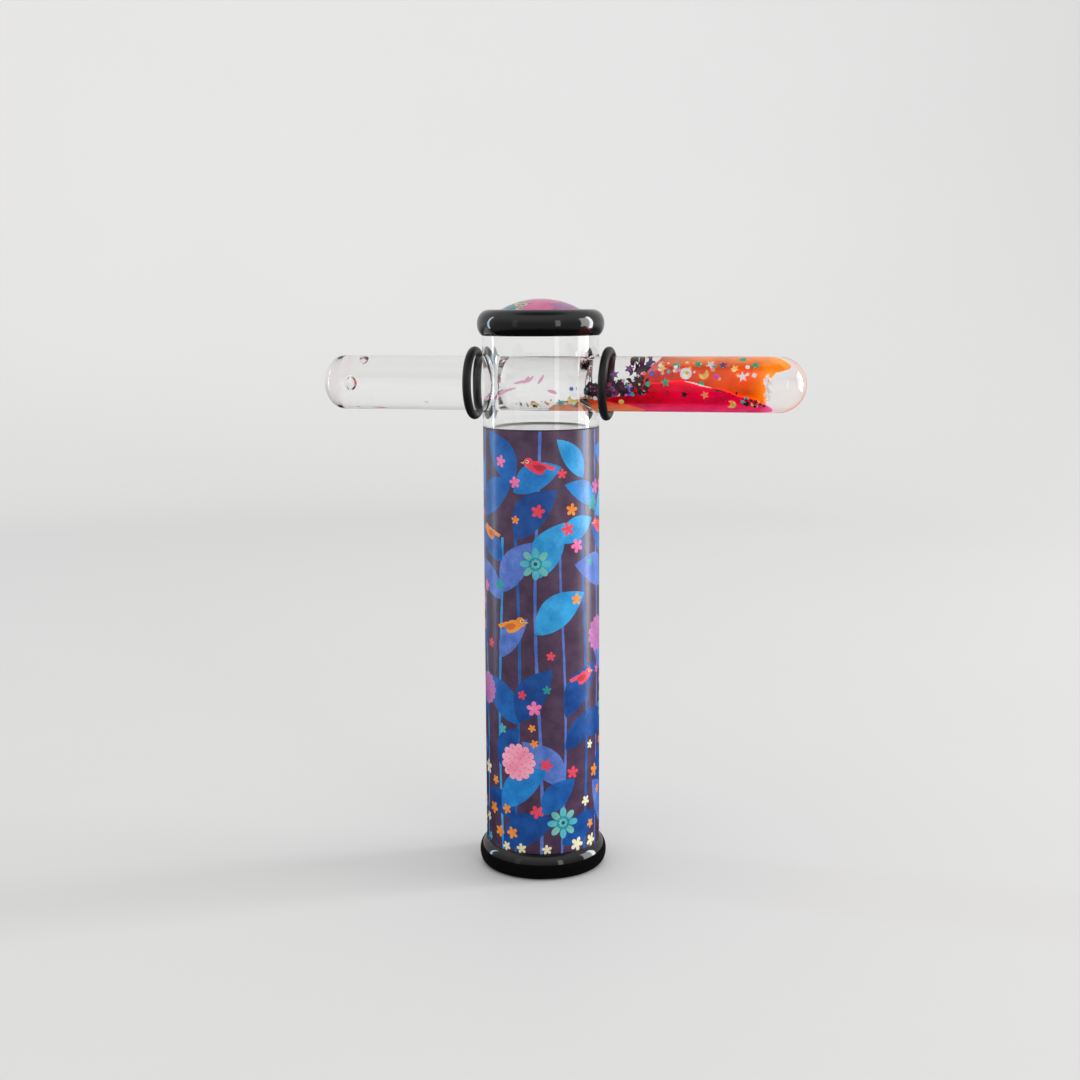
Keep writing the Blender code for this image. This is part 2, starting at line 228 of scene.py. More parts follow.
class Nodes(Tree):
    """A material's node tree, round its Principled shader."""

    def __init__(self, name, **inputs):
        self.material = bpy.data.materials.new(name)
        self.material.use_nodes = True
        super().__init__(self.material.node_tree)
        self.main = self.tree.nodes["Principled BSDF"]
        self.output = self.tree.nodes["Material Output"]
        for key, value in inputs.items():
            self.main.inputs[key.replace("_", " ")].default_value = value
        self.place = None

    def coordinates(self):
        if self.place is None:
            self.place = self.add("ShaderNodeTexCoord").outputs["Object"]
        return self.place

    def noise(self, scale, detail=2.0, roughness=0.5, stretch=None):
        node = self.add("ShaderNodeTexNoise")
        node.inputs["Scale"].default_value = scale
        node.inputs["Detail"].default_value = detail
        node.inputs["Roughness"].default_value = roughness
        source = self.coordinates()
        if stretch is not None:
            mapping = self.add("ShaderNodeMapping")
            mapping.inputs["Scale"].default_value = stretch
            self.link(source, mapping.inputs["Vector"])
            source = mapping.outputs["Vector"]
        self.link(source, node.inputs["Vector"])
        return node.outputs["Fac"]

    def mix(self, factor, first, second, blend="MIX"):
        node = self.add("ShaderNodeMix", data_type="RGBA", blend_type=blend)
        for number, value in ((MIX_FACTOR, factor), (MIX_A, first), (MIX_B, second)):
            self.fill(node.inputs[number], (*value, 1.0) if isinstance(value, tuple) else value)
        return node.outputs[MIX_COLOUR]

    def colour(self, tone, glow=0.0):
        """The base colour. With a glow, it also shines faintly in that colour."""
        self.link(tone, self.main.inputs["Base Color"])
        if glow:
            self.link(tone, self.main.inputs["Emission Color"])
            self.main.inputs["Emission Strength"].default_value = glow

    def bump(self, height, distance, strength=1.0):
        node = self.add("ShaderNodeBump")
        node.inputs["Strength"].default_value = strength
        node.inputs["Distance"].default_value = distance
        self.link(height, node.inputs["Height"])
        self.link(node.outputs["Normal"], self.main.inputs["Normal"])


def lets_lamps_through(nodes, shader, tint):
    """Light crosses the clear surface in a straight line, so that what lies inside it is lit."""
    path = nodes.add("ShaderNodeLightPath")
    clear = nodes.add("ShaderNodeBsdfTransparent")
    clear.inputs["Color"].default_value = (*tint, 1.0)
    mixed = nodes.add("ShaderNodeMixShader")
    nodes.link(path.outputs["Is Shadow Ray"], mixed.inputs["Fac"])
    nodes.link(shader, mixed.inputs[1])
    nodes.link(clear.outputs["BSDF"], mixed.inputs[2])
    nodes.link(mixed.outputs["Shader"], nodes.output.inputs["Surface"])


def clear_material(name, ior, shade=(0.97, 0.97, 0.97)):
    nodes = Nodes(name, Base_Color=(1.0, 1.0, 1.0, 1.0), IOR=ior, Roughness=0.0, Transmission_Weight=1.0)
    lets_lamps_through(nodes, nodes.main.outputs["BSDF"], shade)
    return nodes.material


def paint(name, colour, second, glow=0.0):
    """Printed watercolour: two tones that drift into each other, fine paper grain, a satin varnish. A glow adds painted
    light: the inks shine faintly in their own colours.
    """
    nodes = Nodes(name, Roughness=0.33, Specular_IOR_Level=0.3, Coat_Weight=0.4, Coat_Roughness=0.28)
    drift = nodes.spread(nodes.noise(190.0, 3.0, 0.6), 0.36, 0.66)
    toned = nodes.mix(drift, colour, second)
    grain = nodes.spread(nodes.noise(2600.0, 3.0, 0.7), 0.3, 0.7, 0.84, 1.16)
    nodes.colour(nodes.mix(1.0, toned, grain, "MULTIPLY"), glow)
    nodes.bump(nodes.noise(1500.0, 2.0), 0.00001, 0.25)
    return nodes.material


def gloss_black():
    """Polished black moulding, with a faint waviness and wear."""
    nodes = Nodes("cap_black", Base_Color=(0.003, 0.003, 0.0034, 1.0), Specular_IOR_Level=0.55)
    wear = nodes.spread(nodes.noise(900.0, 4.0, 0.7), 0.35, 0.75, 0.05, 0.13)
    nodes.link(wear, nodes.main.inputs["Roughness"])
    nodes.bump(nodes.noise(70.0, 1.0), 0.00006, 0.35)
    return nodes.material


def rubber():
    nodes = Nodes("ring_rubber", Base_Color=(0.009, 0.009, 0.01, 1.0), Specular_IOR_Level=0.3)
    soft = nodes.spread(nodes.noise(1400.0, 3.0), 0.3, 0.7, 0.3, 0.46)
    nodes.link(soft, nodes.main.inputs["Roughness"])
    nodes.bump(nodes.noise(2400.0, 2.0), 0.00001, 0.4)
    return nodes.material


def card():
    nodes = Nodes("card_edge", Roughness=0.9)
    fibre = nodes.mix(nodes.noise(1800.0, 4.0, stretch=(1, 1, 6)), (0.5, 0.47, 0.45), (0.68, 0.65, 0.62))
    nodes.colour(fibre)
    nodes.bump(nodes.noise(2500.0, 3.0), 0.00004, 0.5)
    return nodes.material


def foam():
    nodes = Nodes("collar_foam", Base_Color=(0.02, 0.02, 0.02, 1.0), Roughness=0.95)
    nodes.bump(nodes.noise(1600.0, 2.0), 0.0001, 0.8)
    return nodes.material


def mirror_glass():
    nodes = Nodes("mirror_face", Base_Color=(0.88, 0.89, 0.9, 1.0), Metallic=1.0)
    haze = nodes.spread(nodes.noise(300.0, 4.0), 0.3, 0.8, 0.01, 0.06)
    nodes.link(haze, nodes.main.inputs["Roughness"])
    return nodes.material


def foil(name, colour):
    """Foil whose tone shifts a little from place to place, with a painted glow in its own colour that stands in for
    light coming through the liquid.
    """
    nodes = Nodes(name, Metallic=0.15, Roughness=0.25, Specular_IOR_Level=0.2)
    lighter = tuple(min(1.0, 1.35 * c + 0.08 * max(colour)) for c in colour)
    tone = nodes.mix(nodes.spread(nodes.noise(700.0, 1.0), 0.35, 0.65), colour, lighter)
    # Painted light: the foil glows faintly in its own colour.
    nodes.colour(tone, glow=0.42)
    nodes.bump(nodes.noise(1200.0, 1.0), 0.00004, 0.5)
    return nodes.material


def coloured_liquid(name, tones, haze, haze_from, haze_to):
    """A dyed liquid with a painted glow in its own colour, standing in for the light that shines through it: (distance,
    colour) tones along the wand, and a paler top or bottom.
    """
    nodes = Nodes(name, Roughness=0.3, Specular_IOR_Level=0.1)
    axes = nodes.add("ShaderNodeSeparateXYZ")
    nodes.link(nodes.coordinates(), axes.inputs["Vector"])
    tone = tones[0][1]
    for (start, _), (end, colour) in zip(tones, tones[1:]):
        reach = nodes.spread(axes.outputs["X"], BARREL_X + start * MM, BARREL_X + end * MM)
        tone = nodes.mix(reach, tone, colour)
    pale = nodes.spread(axes.outputs["Z"], WAND_Z + haze_from * MM, WAND_Z + haze_to * MM, 0.0, 0.6)
    tone = nodes.mix(pale, tone, haze)
    clouds = nodes.spread(nodes.noise(420.0, 4.0, 0.6, stretch=(0.5, 1, 1)), 0.3, 0.7, 0.7, 1.22)
    tone = nodes.mix(1.0, tone, clouds, "MULTIPLY")
    # Painted light: a strong glow in the liquid's own colour stands in for light shining through it.
    nodes.colour(tone, glow=0.85)
    return nodes.material


def coloured_film(name, colour):
    # Painted light: each film glows faintly in its own colour.
    tone = (*colour, 1.0)
    return Nodes(name, Roughness=0.4, Base_Color=tone, Emission_Color=tone, Emission_Strength=0.6).material


# Print -----------------------------------------------------------------------------------------

MM_RADIUS = BARREL_RADIUS / MM
HALF_TURN = pi * MM_RADIUS
FULL_TURN = 2 * HALF_TURN
GRID_COLUMNS = 128

PATTERN_SEED = 8
PATTERN_LOW = 9.0
PATTERN_HIGH = 126.0
STEM_COUNT = 15
STEM_PITCH = FULL_TURN / STEM_COUNT
STEM_SWAY = 0.9
LEAF_COUNT, LEAF_GAP = 64, 9.9
BLOOM_COUNT, BLOOM_GAP = 13, 21
BIRD_COUNT, BIRD_GAP = 12, 20
FLOWER_COUNT, FLOWER_GAP = 100, 4.6
# Depth of the band of painted shade along the paper's top.
TOP_SHADE_BAND = 0.3

INKS = {
    "plum": ((0.056, 0.027, 0.062), (0.09, 0.045, 0.096)),
    "deep": ((0.001, 0.044, 0.225), (0.004, 0.086, 0.35)),
    "blue": ((0.001, 0.08, 0.34), (0.006, 0.14, 0.48)),
    "sky_deep": ((0.001, 0.145, 0.47), (0.01, 0.25, 0.66)),
    "sky": ((0.002, 0.235, 0.56), (0.03, 0.38, 0.76)),
    "lilac_blue": ((0.05, 0.12, 0.46), (0.12, 0.22, 0.62)),
    "teal": ((0.004, 0.22, 0.33), (0.01, 0.34, 0.42)),
    "mint": ((0.09, 0.4, 0.36), (0.2, 0.55, 0.46)),
    "pink": ((0.85, 0.26, 0.4), (0.92, 0.4, 0.52)),
    "pink_dark": ((0.7, 0.14, 0.27), (0.78, 0.2, 0.34)),
    "mauve": ((0.42, 0.12, 0.36), (0.52, 0.19, 0.46)),
    "mauve_dark": ((0.26, 0.05, 0.21), (0.33, 0.08, 0.27)),
    "rose": ((0.8, 0.13, 0.34), (0.9, 0.22, 0.45)),
    "rose_dark": ((0.62, 0.07, 0.2), (0.7, 0.1, 0.26)),
    "rose_mauve": ((0.52, 0.1, 0.33), (0.62, 0.16, 0.42)),
    "coral": ((0.72, 0.035, 0.075), (0.82, 0.07, 0.12)),
    "coral_dark": ((0.46, 0.012, 0.04), (0.54, 0.025, 0.06)),
    "amber": ((0.78, 0.22, 0.02), (0.88, 0.32, 0.04)),
    "amber_dark": ((0.55, 0.12, 0.012), (0.62, 0.16, 0.02)),
    "beak": ((0.75, 0.4, 0.06), (0.85, 0.5, 0.1)),
    "cream": ((0.72, 0.66, 0.4), (0.82, 0.78, 0.55)),
    "jade": ((0.008, 0.26, 0.26), (0.02, 0.36, 0.33)),
    "aqua": ((0.05, 0.38, 0.47), (0.1, 0.5, 0.58)),
    "eye": ((0.01, 0.008, 0.012), (0.015, 0.01, 0.016)),
    # edge is no printed ink: its dark band is painted shade for the gap under the clear holder.
    "edge": ((0.018, 0.01, 0.022), (0.026, 0.014, 0.03)),
}


def leaf_shape(stalk, tip, width, bend, steps=14):
    """A pointed leaf from stalk to tip, bent to one side by a share of its length."""
    along = Vector((tip[0] - stalk[0], tip[1] - stalk[1]))
    across = Vector((-along.y, along.x)).normalized()
    sides = []
    for side in (1, -1):
        row = []
        for i in range(steps + 1):
            t = i / steps
            middle = Vector(stalk) + along * t + across * (bend * along.length * 4 * t * (1 - t) * 0.5)
            row.append(middle + across * (side * 0.5 * width * sin(pi * t ** 0.9) ** 0.85))
        sides.append(row)
    return [tuple(p) for p in sides[0]] + [tuple(p) for p in reversed(sides[1][1:-1])]


def smooth_path(points, each=8):
    """Points on a smooth curve through the given ones."""
    ends = [points[0]] + points + [points[-1]]
    path = []
    for a, b, c, d in zip(ends, ends[1:], ends[2:], ends[3:]):
        for i in range(each):
            t = i / each
            path.append(tuple(
                0.5 * (2 * q + (r - p) * t + (2 * p - 5 * q + 4 * r - s) * t * t + (3 * q - p - 3 * r + s) * t ** 3)
                for p, q, r, s in zip(a, b, c, d)
            ))
    return path + [points[-1]]


def ribbon_shape(points, width):
    """A band of one width along a path, with a hand-drawn waver."""
    path = [Vector(p) for p in smooth_path(points)]
    left, right = [], []
    for i, point in enumerate(path):
        ahead = path[min(i + 1, len(path) - 1)] - path[max(i - 1, 0)]
        across = Vector((-ahead.y, ahead.x)).normalized()
        half = 0.5 * width * (1 + 0.12 * sin(1.7 * i + 3 * width))
        left.append(tuple(point + across * half))
        right.append(tuple(point - across * half))
    return left + right[::-1]


def round_shape(x, y, radius, steps=20, tall=1.0, turn=0.0):
    points = []
    for a in angles(steps):
        u, v = radius * cos(a), radius * tall * sin(a)
        points.append((x + u * cos(turn) - v * sin(turn), y + u * sin(turn) + v * cos(turn)))
    return points


def petalled(x, y, radius, petals, depth, turn=0.0, power=1.0):
    """A flower outline: its radius swings between petal tips and the notches between them."""
    points = []
    for a in angles(petals * 8):
        swing = abs(cos(petals * a / 2)) ** power
        r = radius * (1 - depth + depth * swing)
        points.append((x + r * cos(a + turn), y + r * sin(a + turn)))
    return points


def daisy_bloom(x, y, r, draw):
    """A round flower: eight petals round a ring and a plain middle."""
    for k in range(8):
        a = k * pi / 4
        px, py = x + 0.66 * r * cos(a), y + 0.66 * r * sin(a)
        draw("mint" if k % 2 else "aqua", round_shape(px, py, 0.34 * r, 12, 0.62, a))
    draw("teal", round_shape(x, y, 0.42 * r))
    draw("mint", petalled(x, y, 0.3 * r, 8, 0.3))
    draw("deep", round_shape(x, y, 0.12 * r, 10))


def ruffled_bloom(x, y, r, draw, ink):
    """A scalloped flower with rings of small strokes."""
    draw(ink, petalled(x, y, r, 13, 0.17, power=0.55))
    for ring, count in ((0.72, 13), (0.5, 9), (0.28, 5)):
        for k in range(count):
            a = 2 * pi * (k + 0.5 * (count % 2)) / count + ring
            px, py = x + ring * r * cos(a), y + ring * r * sin(a)
            draw(ink + "_dark", round_shape(px, py, 0.075 * r, 8, 0.42, a))


def songbird(x, y, size, way, ink, draw):
    """A plump perching bird of plain shapes: tail, body, wing, beak and a dot of an eye."""
    def at(points):
        return [(x + way * u * size, y + v * size) for u, v in points]

    body = [(0.27 * cos(a) + 0.04 * cos(2 * a), 0.2 * sin(a) + 0.07 * cos(a)) for a in angles(26)]
    draw(ink, at([(-0.12, 0.02), (-0.5, -0.1), (-0.58, 0.0), (-0.2, 0.14)]))
    draw("beak", at([(0.38, 0.19), (0.52, 0.15), (0.38, 0.1)]))
    draw(ink, at(body))
    draw(ink, at(round_shape(0.26, 0.15, 0.155, 18)))
    draw(ink + "_dark", at(leaf_shape((-0.3, -0.02), (0.13, 0.06), 0.2, -0.12, 8)))
    draw("cream", at(round_shape(0.3, 0.18, 0.052, 12)))
    draw("eye", at(round_shape(0.308, 0.182, 0.03, 10)))


def counter_clockwise(points):
    area = sum(a[0] * b[1] - b[0] * a[1] for a, b in zip(points, points[1:] + points[:1]))
    return points if area > 0 else points[::-1]


def clear_spot(place, taken, gap):
    """Whether a point on the paper, which runs right round the tube, is this far from every taken one."""
    for x, y in taken:
        across = abs(place[0] - x) % FULL_TURN
        if min(across, FULL_TURN - across) ** 2 + (place[1] - y) ** 2 < gap ** 2:
            return False
    return True


def on_stem(stem, height):
    middle, phase = stem
    return (middle + STEM_SWAY * sin(phase + height / 19), height)


def draw_stems(chance, draw):
    stems = []
    for i in range(STEM_COUNT):
        middle = -HALF_TURN + (i + 0.5) * STEM_PITCH + chance.uniform(-1.6, 1.6)
        stem = (middle, chance.uniform(0, 2 * pi))
        top = chance.choice((134, 134, 134, 112))
        path = [on_stem(stem, height) for height in range(6, top + 1, 16)]
        stems.append(stem)
        draw(chance.choice(("sky", "blue", "sky", "lilac_blue")), ribbon_shape(path, chance.uniform(0.6, 1.05)))
    return stems


def draw_leaves(chance, draw, stems):
    leaves = []
    for _ in range(4000):
        root = on_stem(chance.choice(stems), chance.uniform(PATTERN_LOW, PATTERN_HIGH - 6))
        side, rise, length = chance.choice((-1, 1)), radians(chance.uniform(18, 62)), chance.uniform(13.5, 20.0)
        tip = (root[0] + side * length * cos(rise), root[1] + length * sin(rise))
        heart = ((root[0] + tip[0]) / 2, (root[1] + tip[1]) / 2)
        if len(leaves) < LEAF_COUNT and clear_spot(heart, leaves, LEAF_GAP):
            leaves.append(heart)
            ink = chance.choice(("deep", "blue", "deep", "sky_deep", "sky", "blue", "lilac_blue"))
            draw(ink, leaf_shape(root, tip, length * chance.uniform(0.42, 0.52), side * chance.uniform(0.08, 0.2)))
    return leaves


def draw_blooms(chance, draw, stems, leaves):
    blooms = []
    for _ in range(4000):
        place = on_stem(chance.choice(stems), chance.uniform(PATTERN_LOW + 6, PATTERN_HIGH))
        if len(blooms) < BLOOM_COUNT and clear_spot(place, blooms, BLOOM_GAP) and clear_spot(place, leaves, 5):
            blooms.append(place)
            kind = ("daisy", "pink", "mauve")[len(blooms) % 3]
            if kind == "daisy":
                daisy_bloom(*place, chance.uniform(4.4, 5.2), draw)
            else:
                ruffled_bloom(*place, chance.uniform(4.8, 5.8), draw, kind)
    return blooms


def draw_birds(chance, draw, leaves, blooms):
    """Birds perch on leaves, clear of the large flowers and of the paper's ends."""
    birds = []
    for x, y in leaves:
        place = (x, y + 3.6)
        free = clear_spot(place, birds, BIRD_GAP) and clear_spot(place, blooms, 11)
        if len(birds) < BIRD_COUNT and free and 32 < y < 120:
            birds.append(place)
            way = chance.choice((-1, 1))
            ink = "amber" if len(birds) % 3 == 2 else "coral"
            songbird(*place, chance.uniform(8.0, 10.5), way, ink, draw)
    return birds


def draw_small_flowers(chance, draw, blooms, birds):
    """Small flowers crowd towards the foot of the paper, and are paler there."""
    flowers = []
    low_inks = ("amber", "cream", "amber", "coral", "aqua", "cream")
    high_inks = ("rose", "coral", "amber", "rose_mauve", "jade")
    for _ in range(6000):
        across = chance.uniform(-HALF_TURN, HALF_TURN)
        place = (across, PATTERN_LOW + (PATTERN_HIGH - PATTERN_LOW) * chance.random() ** 2.2)
        free = clear_spot(place, flowers, FLOWER_GAP) and clear_spot(place, blooms, 7.6) and clear_spot(place, birds, 7)
        if len(flowers) < FLOWER_COUNT and free:
            flowers.append(place)
            ink = chance.choice(low_inks if place[1] < 48 else high_inks)
            draw(ink, petalled(*place, chance.uniform(1.2, 2.4), 5, 0.62, chance.uniform(0, 2), 0.8))


def motifs():
    """Every printed shape from back to front, as (ink, outline), laid out by chance with room between, and last the
    edge band: painted shade along the paper's top, in the dark gap under the clear holder.
    """
    chance = random.Random(PATTERN_SEED)
    shapes = []

    def draw(ink, points):
        for turn in (-FULL_TURN, 0.0, FULL_TURN):
            moved = [(u + turn, v) for u, v in points]
            if max(u for u, _ in moved) > -HALF_TURN and min(u for u, _ in moved) < HALF_TURN:
                shapes.append((ink, counter_clockwise(moved)))

    stems = draw_stems(chance, draw)
    leaves = draw_leaves(chance, draw, stems)
    blooms = draw_blooms(chance, draw, stems, leaves)
    birds = draw_birds(chance, draw, leaves, blooms)
    draw_small_flowers(chance, draw, blooms, birds)
    # A dark band along the paper's top: painted shade where the clear holder sits on the print.
    side, low, high = HALF_TURN + 1, PRINT_TOP / MM - TOP_SHADE_BAND, PRINT_TOP / MM + 1
    draw("edge", [(-side, low), (side, low), (side, high), (-side, high)])
    return shapes


def ink_materials(shapes):
    inks = ["plum"] + sorted({ink for ink, _ in shapes})
    return {ink: paint("print_" + ink, *INKS[ink]) for ink in inks}


def cut_by_outlines(low, high, shapes, columns):
    """The flat rectangle split along every outline: its points, its faces, and each face's topmost ink."""
    corners = [(low[0], low[1]), (high[0], low[1]), (high[0], high[1]), (low[0], high[1])]
    points, faces = list(corners), [[0, 1, 2, 3]]
    for _, outline in shapes:
        faces.append(list(range(len(points), len(points) + len(outline))))
        points.extend(outline)
    edges = []
    for i in range(1, columns):
        x = low[0] + (high[0] - low[0]) * i / columns
        edges.append((len(points), len(points) + 1))
        points.extend([(x, low[1]), (x, high[1])])
    verts, _, cells, _, _, owners = delaunay_2d_cdt([Vector(p) for p in points], edges, faces, 3, 1e-5)
    kept, inks = [], []
    for cell, owner in zip(cells, owners):
        if 0 not in owner:
            continue
        top = max(owner)
        kept.append(cell)
        inks.append("plum" if top == 0 else shapes[top - 1][0])
    return verts, kept, inks


def printed_wrap():
    """The paper round the tube, cut along every printed outline so that each colour has its own faces."""
    shapes = motifs()
    materials = ink_materials(shapes)
    low, high = wrap_low.z / MM, wrap_high.z / MM
    flat, faces, inks = cut_by_outlines((-HALF_TURN, low), (HALF_TURN, high), shapes, GRID_COLUMNS)
    verts, normals = [], []
    for point in flat:
        angle = point[0] / MM_RADIUS + CAMERA_AZIMUTH
        out = Vector((sin(angle), -cos(angle), 0.0))
        verts.append(Vector((BARREL_X, 0, point[1] * MM)) + out * BARREL_RADIUS)
        normals.append(out)
    obj = new_object("printed_wrap_art", verts, faces, BARREL)
    slots = {ink: i for i, ink in enumerate(materials)}
    for material in materials.values():
        obj.data.materials.append(material)
    for face, ink in zip(obj.data.polygons, inks):
        face.material_index = slots[ink]
    obj.data.shade_smooth()
    obj.data.normals_split_custom_set_from_vertices(normals)
    weld = obj.modifiers.new("Weld", "WELD")
    weld.merge_threshold = WELD_DISTANCE
    paper = obj.modifiers.new("Solidify", "SOLIDIFY")
    paper.thickness = PAPER_THICKNESS
    paper.offset = -1.0
    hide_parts("printed_wrap")


# Barrel ----------------------------------------------------------------------------------------

COLUMNS = 144
HOLE_STEPS = 96
HOLE_MARGIN = 0.35 * MM
OUTER_WALL, INNER_WALL, TUNNEL, RIM, FLAT = range(5)


def cap_bulge(cap_radius, radii, centre_z, start, end):
    return arc((cap_radius - radii[0], centre_z), radii, start, end, 28)


def lip_angle(cap_radius, radii):
    """Where the bulge meets the bore, in degrees round from its outermost point."""
    return degrees(acos((CAP_BORE - (cap_radius - radii[0])) / radii[0]))


def caps(black):
    lip = lip_angle(EYE_CAP_RADIUS, EYE_BULGE)
    inside = [
        (EYE_DISH_RADIUS, 0.0),
        (EYE_HOLE + 0.5 * MM, EYE_DISH_DEPTH),
        (EYE_HOLE, EYE_DISH_DEPTH + 0.3 * MM),
        (EYE_HOLE, CAP_FLOOR),
        (CAP_BORE, CAP_FLOOR),
    ]
    bulge = cap_bulge(EYE_CAP_RADIUS, EYE_BULGE, EYE_BULGE[1], lip, -90)
    low = lathe("eyepiece_cap_gloss", bulge + inside, BARREL, black, loop=True)
    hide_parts("eyepiece_cap")
    recess = PICTURE_LOW.z - 0.1 * MM
    seat = DOME_RADIUS + 0.15 * MM
    roof = HOLDER_HIGH.z + 0.1 * MM
    widest = END_HIGH.z - END_BULGE_UPPER[1]
    top = [(0, recess), (seat, recess), (seat, END_HIGH.z - 0.2 * MM), (seat + 0.2 * MM, END_HIGH.z)]
    upper = cap_bulge(END_CAP_RADIUS, END_BULGE_UPPER, widest, 90, 0)
    lower = cap_bulge(END_CAP_RADIUS, END_BULGE_LOWER, widest, 0, -lip_angle(END_CAP_RADIUS, END_BULGE_LOWER))
    high = lathe("end_cap_gloss", top + upper + lower[1:] + [(CAP_BORE, roof), (0, roof)], BARREL, black)
    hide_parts("end_cap")


def ring_points(radius, hole, side, x_in=0.0):
    """Points of a round hole's edge on a wall of this radius, x_in further in."""
    points = []
    for t in angles(HOLE_STEPS):
        y = hole * cos(t)
        points.append(Vector((BARREL_X + side * (sqrt(radius ** 2 - y ** 2) - x_in), y, WAND_Z + hole * sin(t))))
    return points


def wall_patch(shape, radius, low, high, hole, kind):
    """One cylindrical wall with the two holes left out. Its rows and columns are points of a Delaunay mesh."""
    circle = 2 * pi * radius
    start = -0.75 * circle
    rows = round((high - low) / (0.9 * MM))
    flat, faces = [], []

    def clear_of_holes(x, z):
        y = radius * sin(x / radius)
        return y * y + (z - WAND_Z) ** 2 > (hole + HOLE_MARGIN) ** 2

    for i in range(COLUMNS + 1):
        for j in range(rows + 1):
            x, z = start + circle * i / COLUMNS, low + (high - low) * j / rows
            if j in (0, rows) or i in (0, COLUMNS) or clear_of_holes(x, z):
                flat.append((x, z))
    edges = []
    for centre in (0.0, -pi * radius):
        first = len(flat)
        for t in angles(HOLE_STEPS):
            flat.append((centre + radius * asin(hole * cos(t) / radius), WAND_Z + hole * sin(t)))
        edges.extend((first + k, first + (k + 1) % HOLE_STEPS) for k in range(HOLE_STEPS))
    scaled = [Vector((x / MM, z / MM)) for x, z in flat]
    verts, _, cells, _, _, _ = delaunay_2d_cdt(scaled, edges, [], 0, 1e-6)
    for cell in cells:
        x = sum(verts[i].x for i in cell) / len(cell) * MM
        z = sum(verts[i].y for i in cell) / len(cell) * MM
        y = radius * sin(x / radius)
        if y * y + (z - WAND_Z) ** 2 > hole ** 2:
            faces.append(cell if kind == OUTER_WALL else tuple(reversed(cell)))
    turned = [(point.x * MM / radius, point.y * MM) for point in verts]
    shape.add([(BARREL_X + radius * cos(a), radius * sin(a), z) for a, z in turned], faces, kind)


class Shape:
    """Vertices and faces gathered from several surfaces, each face with its kind."""

    def __init__(self):
        self.verts, self.faces, self.kinds = [], [], []

    def add(self, verts, faces, kind):
        first = len(self.verts)
        self.verts.extend(verts)
        self.faces.extend(tuple(first + i for i in face) for face in faces)
        self.kinds.extend([kind] * len(faces))

    def bridge(self, first, second, kind):
        """Quads between two closed rings with as many points each."""
        count = len(first)
        faces = [(i, (i + 1) % count, count + (i + 1) % count, count + i) for i in range(count)]
        self.add(list(first) + list(second), faces, kind)


def level_ring(radius, z):
    turned = [angle - 1.5 * pi for angle in angles(COLUMNS)]
    return [Vector((BARREL_X + radius * cos(angle), radius * sin(angle), z)) for angle in turned]


def corner_normal(kind, place, face_normal):
    from_axis = Vector((place.x - BARREL_X, place.y, 0)).normalized()
    to_wand = Vector((0, -place.y, WAND_Z - place.z)).normalized()
    side = Vector((1 if place.x > BARREL_X else -1, 0, 0))
    if kind == OUTER_WALL:
        return from_axis
    if kind == INNER_WALL:
        return -from_axis
    if kind == TUNNEL:
        return to_wand
    if kind == RIM:
        return (to_wand + side).normalized()
    return face_normal


def wand_holder(clear):
    """The clear upper barrel: both walls, the rounded holes through them, the spigot and its seat."""
    top = HOLDER_HIGH.z
    foot = HOLDER_LOW.z
    shape = Shape()
    wall_patch(shape, BARREL_RADIUS, SHOULDER, top, HOLE_RADIUS + HOLE_FLARE, OUTER_WALL)
    wall_patch(shape, HOLDER_BORE, WINDOW_SEAT, top, HOLE_RADIUS, INNER_WALL)
    for side in (1, -1):
        edge = ring_points(BARREL_RADIUS, HOLE_RADIUS + HOLE_FLARE, side)
        throat = ring_points(BARREL_RADIUS, HOLE_RADIUS, side, HOLE_FLARE)
        inner = ring_points(HOLDER_BORE, HOLE_RADIUS, side)
        if side < 0:
            edge, throat, inner = edge[::-1], throat[::-1], inner[::-1]
        shape.bridge(edge, throat, RIM)
        shape.bridge(throat, inner, TUNNEL)
    levels = [
        (BARREL_RADIUS, SHOULDER), (SPIGOT_RADIUS, SHOULDER), (SPIGOT_RADIUS, foot),
        (SPIGOT_BORE, foot), (SPIGOT_BORE, WINDOW_SEAT), (HOLDER_BORE, WINDOW_SEAT),
    ]
    for above, below in zip(levels, levels[1:]):
        shape.bridge(level_ring(*below), level_ring(*above), FLAT)
    shape.bridge(level_ring(BARREL_RADIUS, top), level_ring(HOLDER_BORE, top), FLAT)
    obj = new_object("wand_holder_clear", shape.verts, shape.faces, BARREL, clear)
    mesh = obj.data
    kinds = mesh.attributes.new("kind", "INT", "FACE")
    kinds.data.foreach_set("value", shape.kinds)
    merge_points(mesh)
    mesh.shade_smooth()
    kind_of = [item.value for item in mesh.attributes["kind"].data]
    normals = []
    for face in mesh.polygons:
        for corner in face.loop_indices:
            place = mesh.vertices[mesh.loops[corner].vertex_index].co
            normals.append(corner_normal(kind_of[face.index], place, face.normal))
    mesh.normals_split_custom_set(normals)
    mesh.attributes.remove(mesh.attributes["kind"])
    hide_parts("wand_holder")


def merge_points(mesh):
    shape = bmesh.new()
    shape.from_mesh(mesh)
    bmesh.ops.remove_doubles(shape, verts=shape.verts, dist=WELD_DISTANCE)
    shape.to_mesh(mesh)
    shape.free()


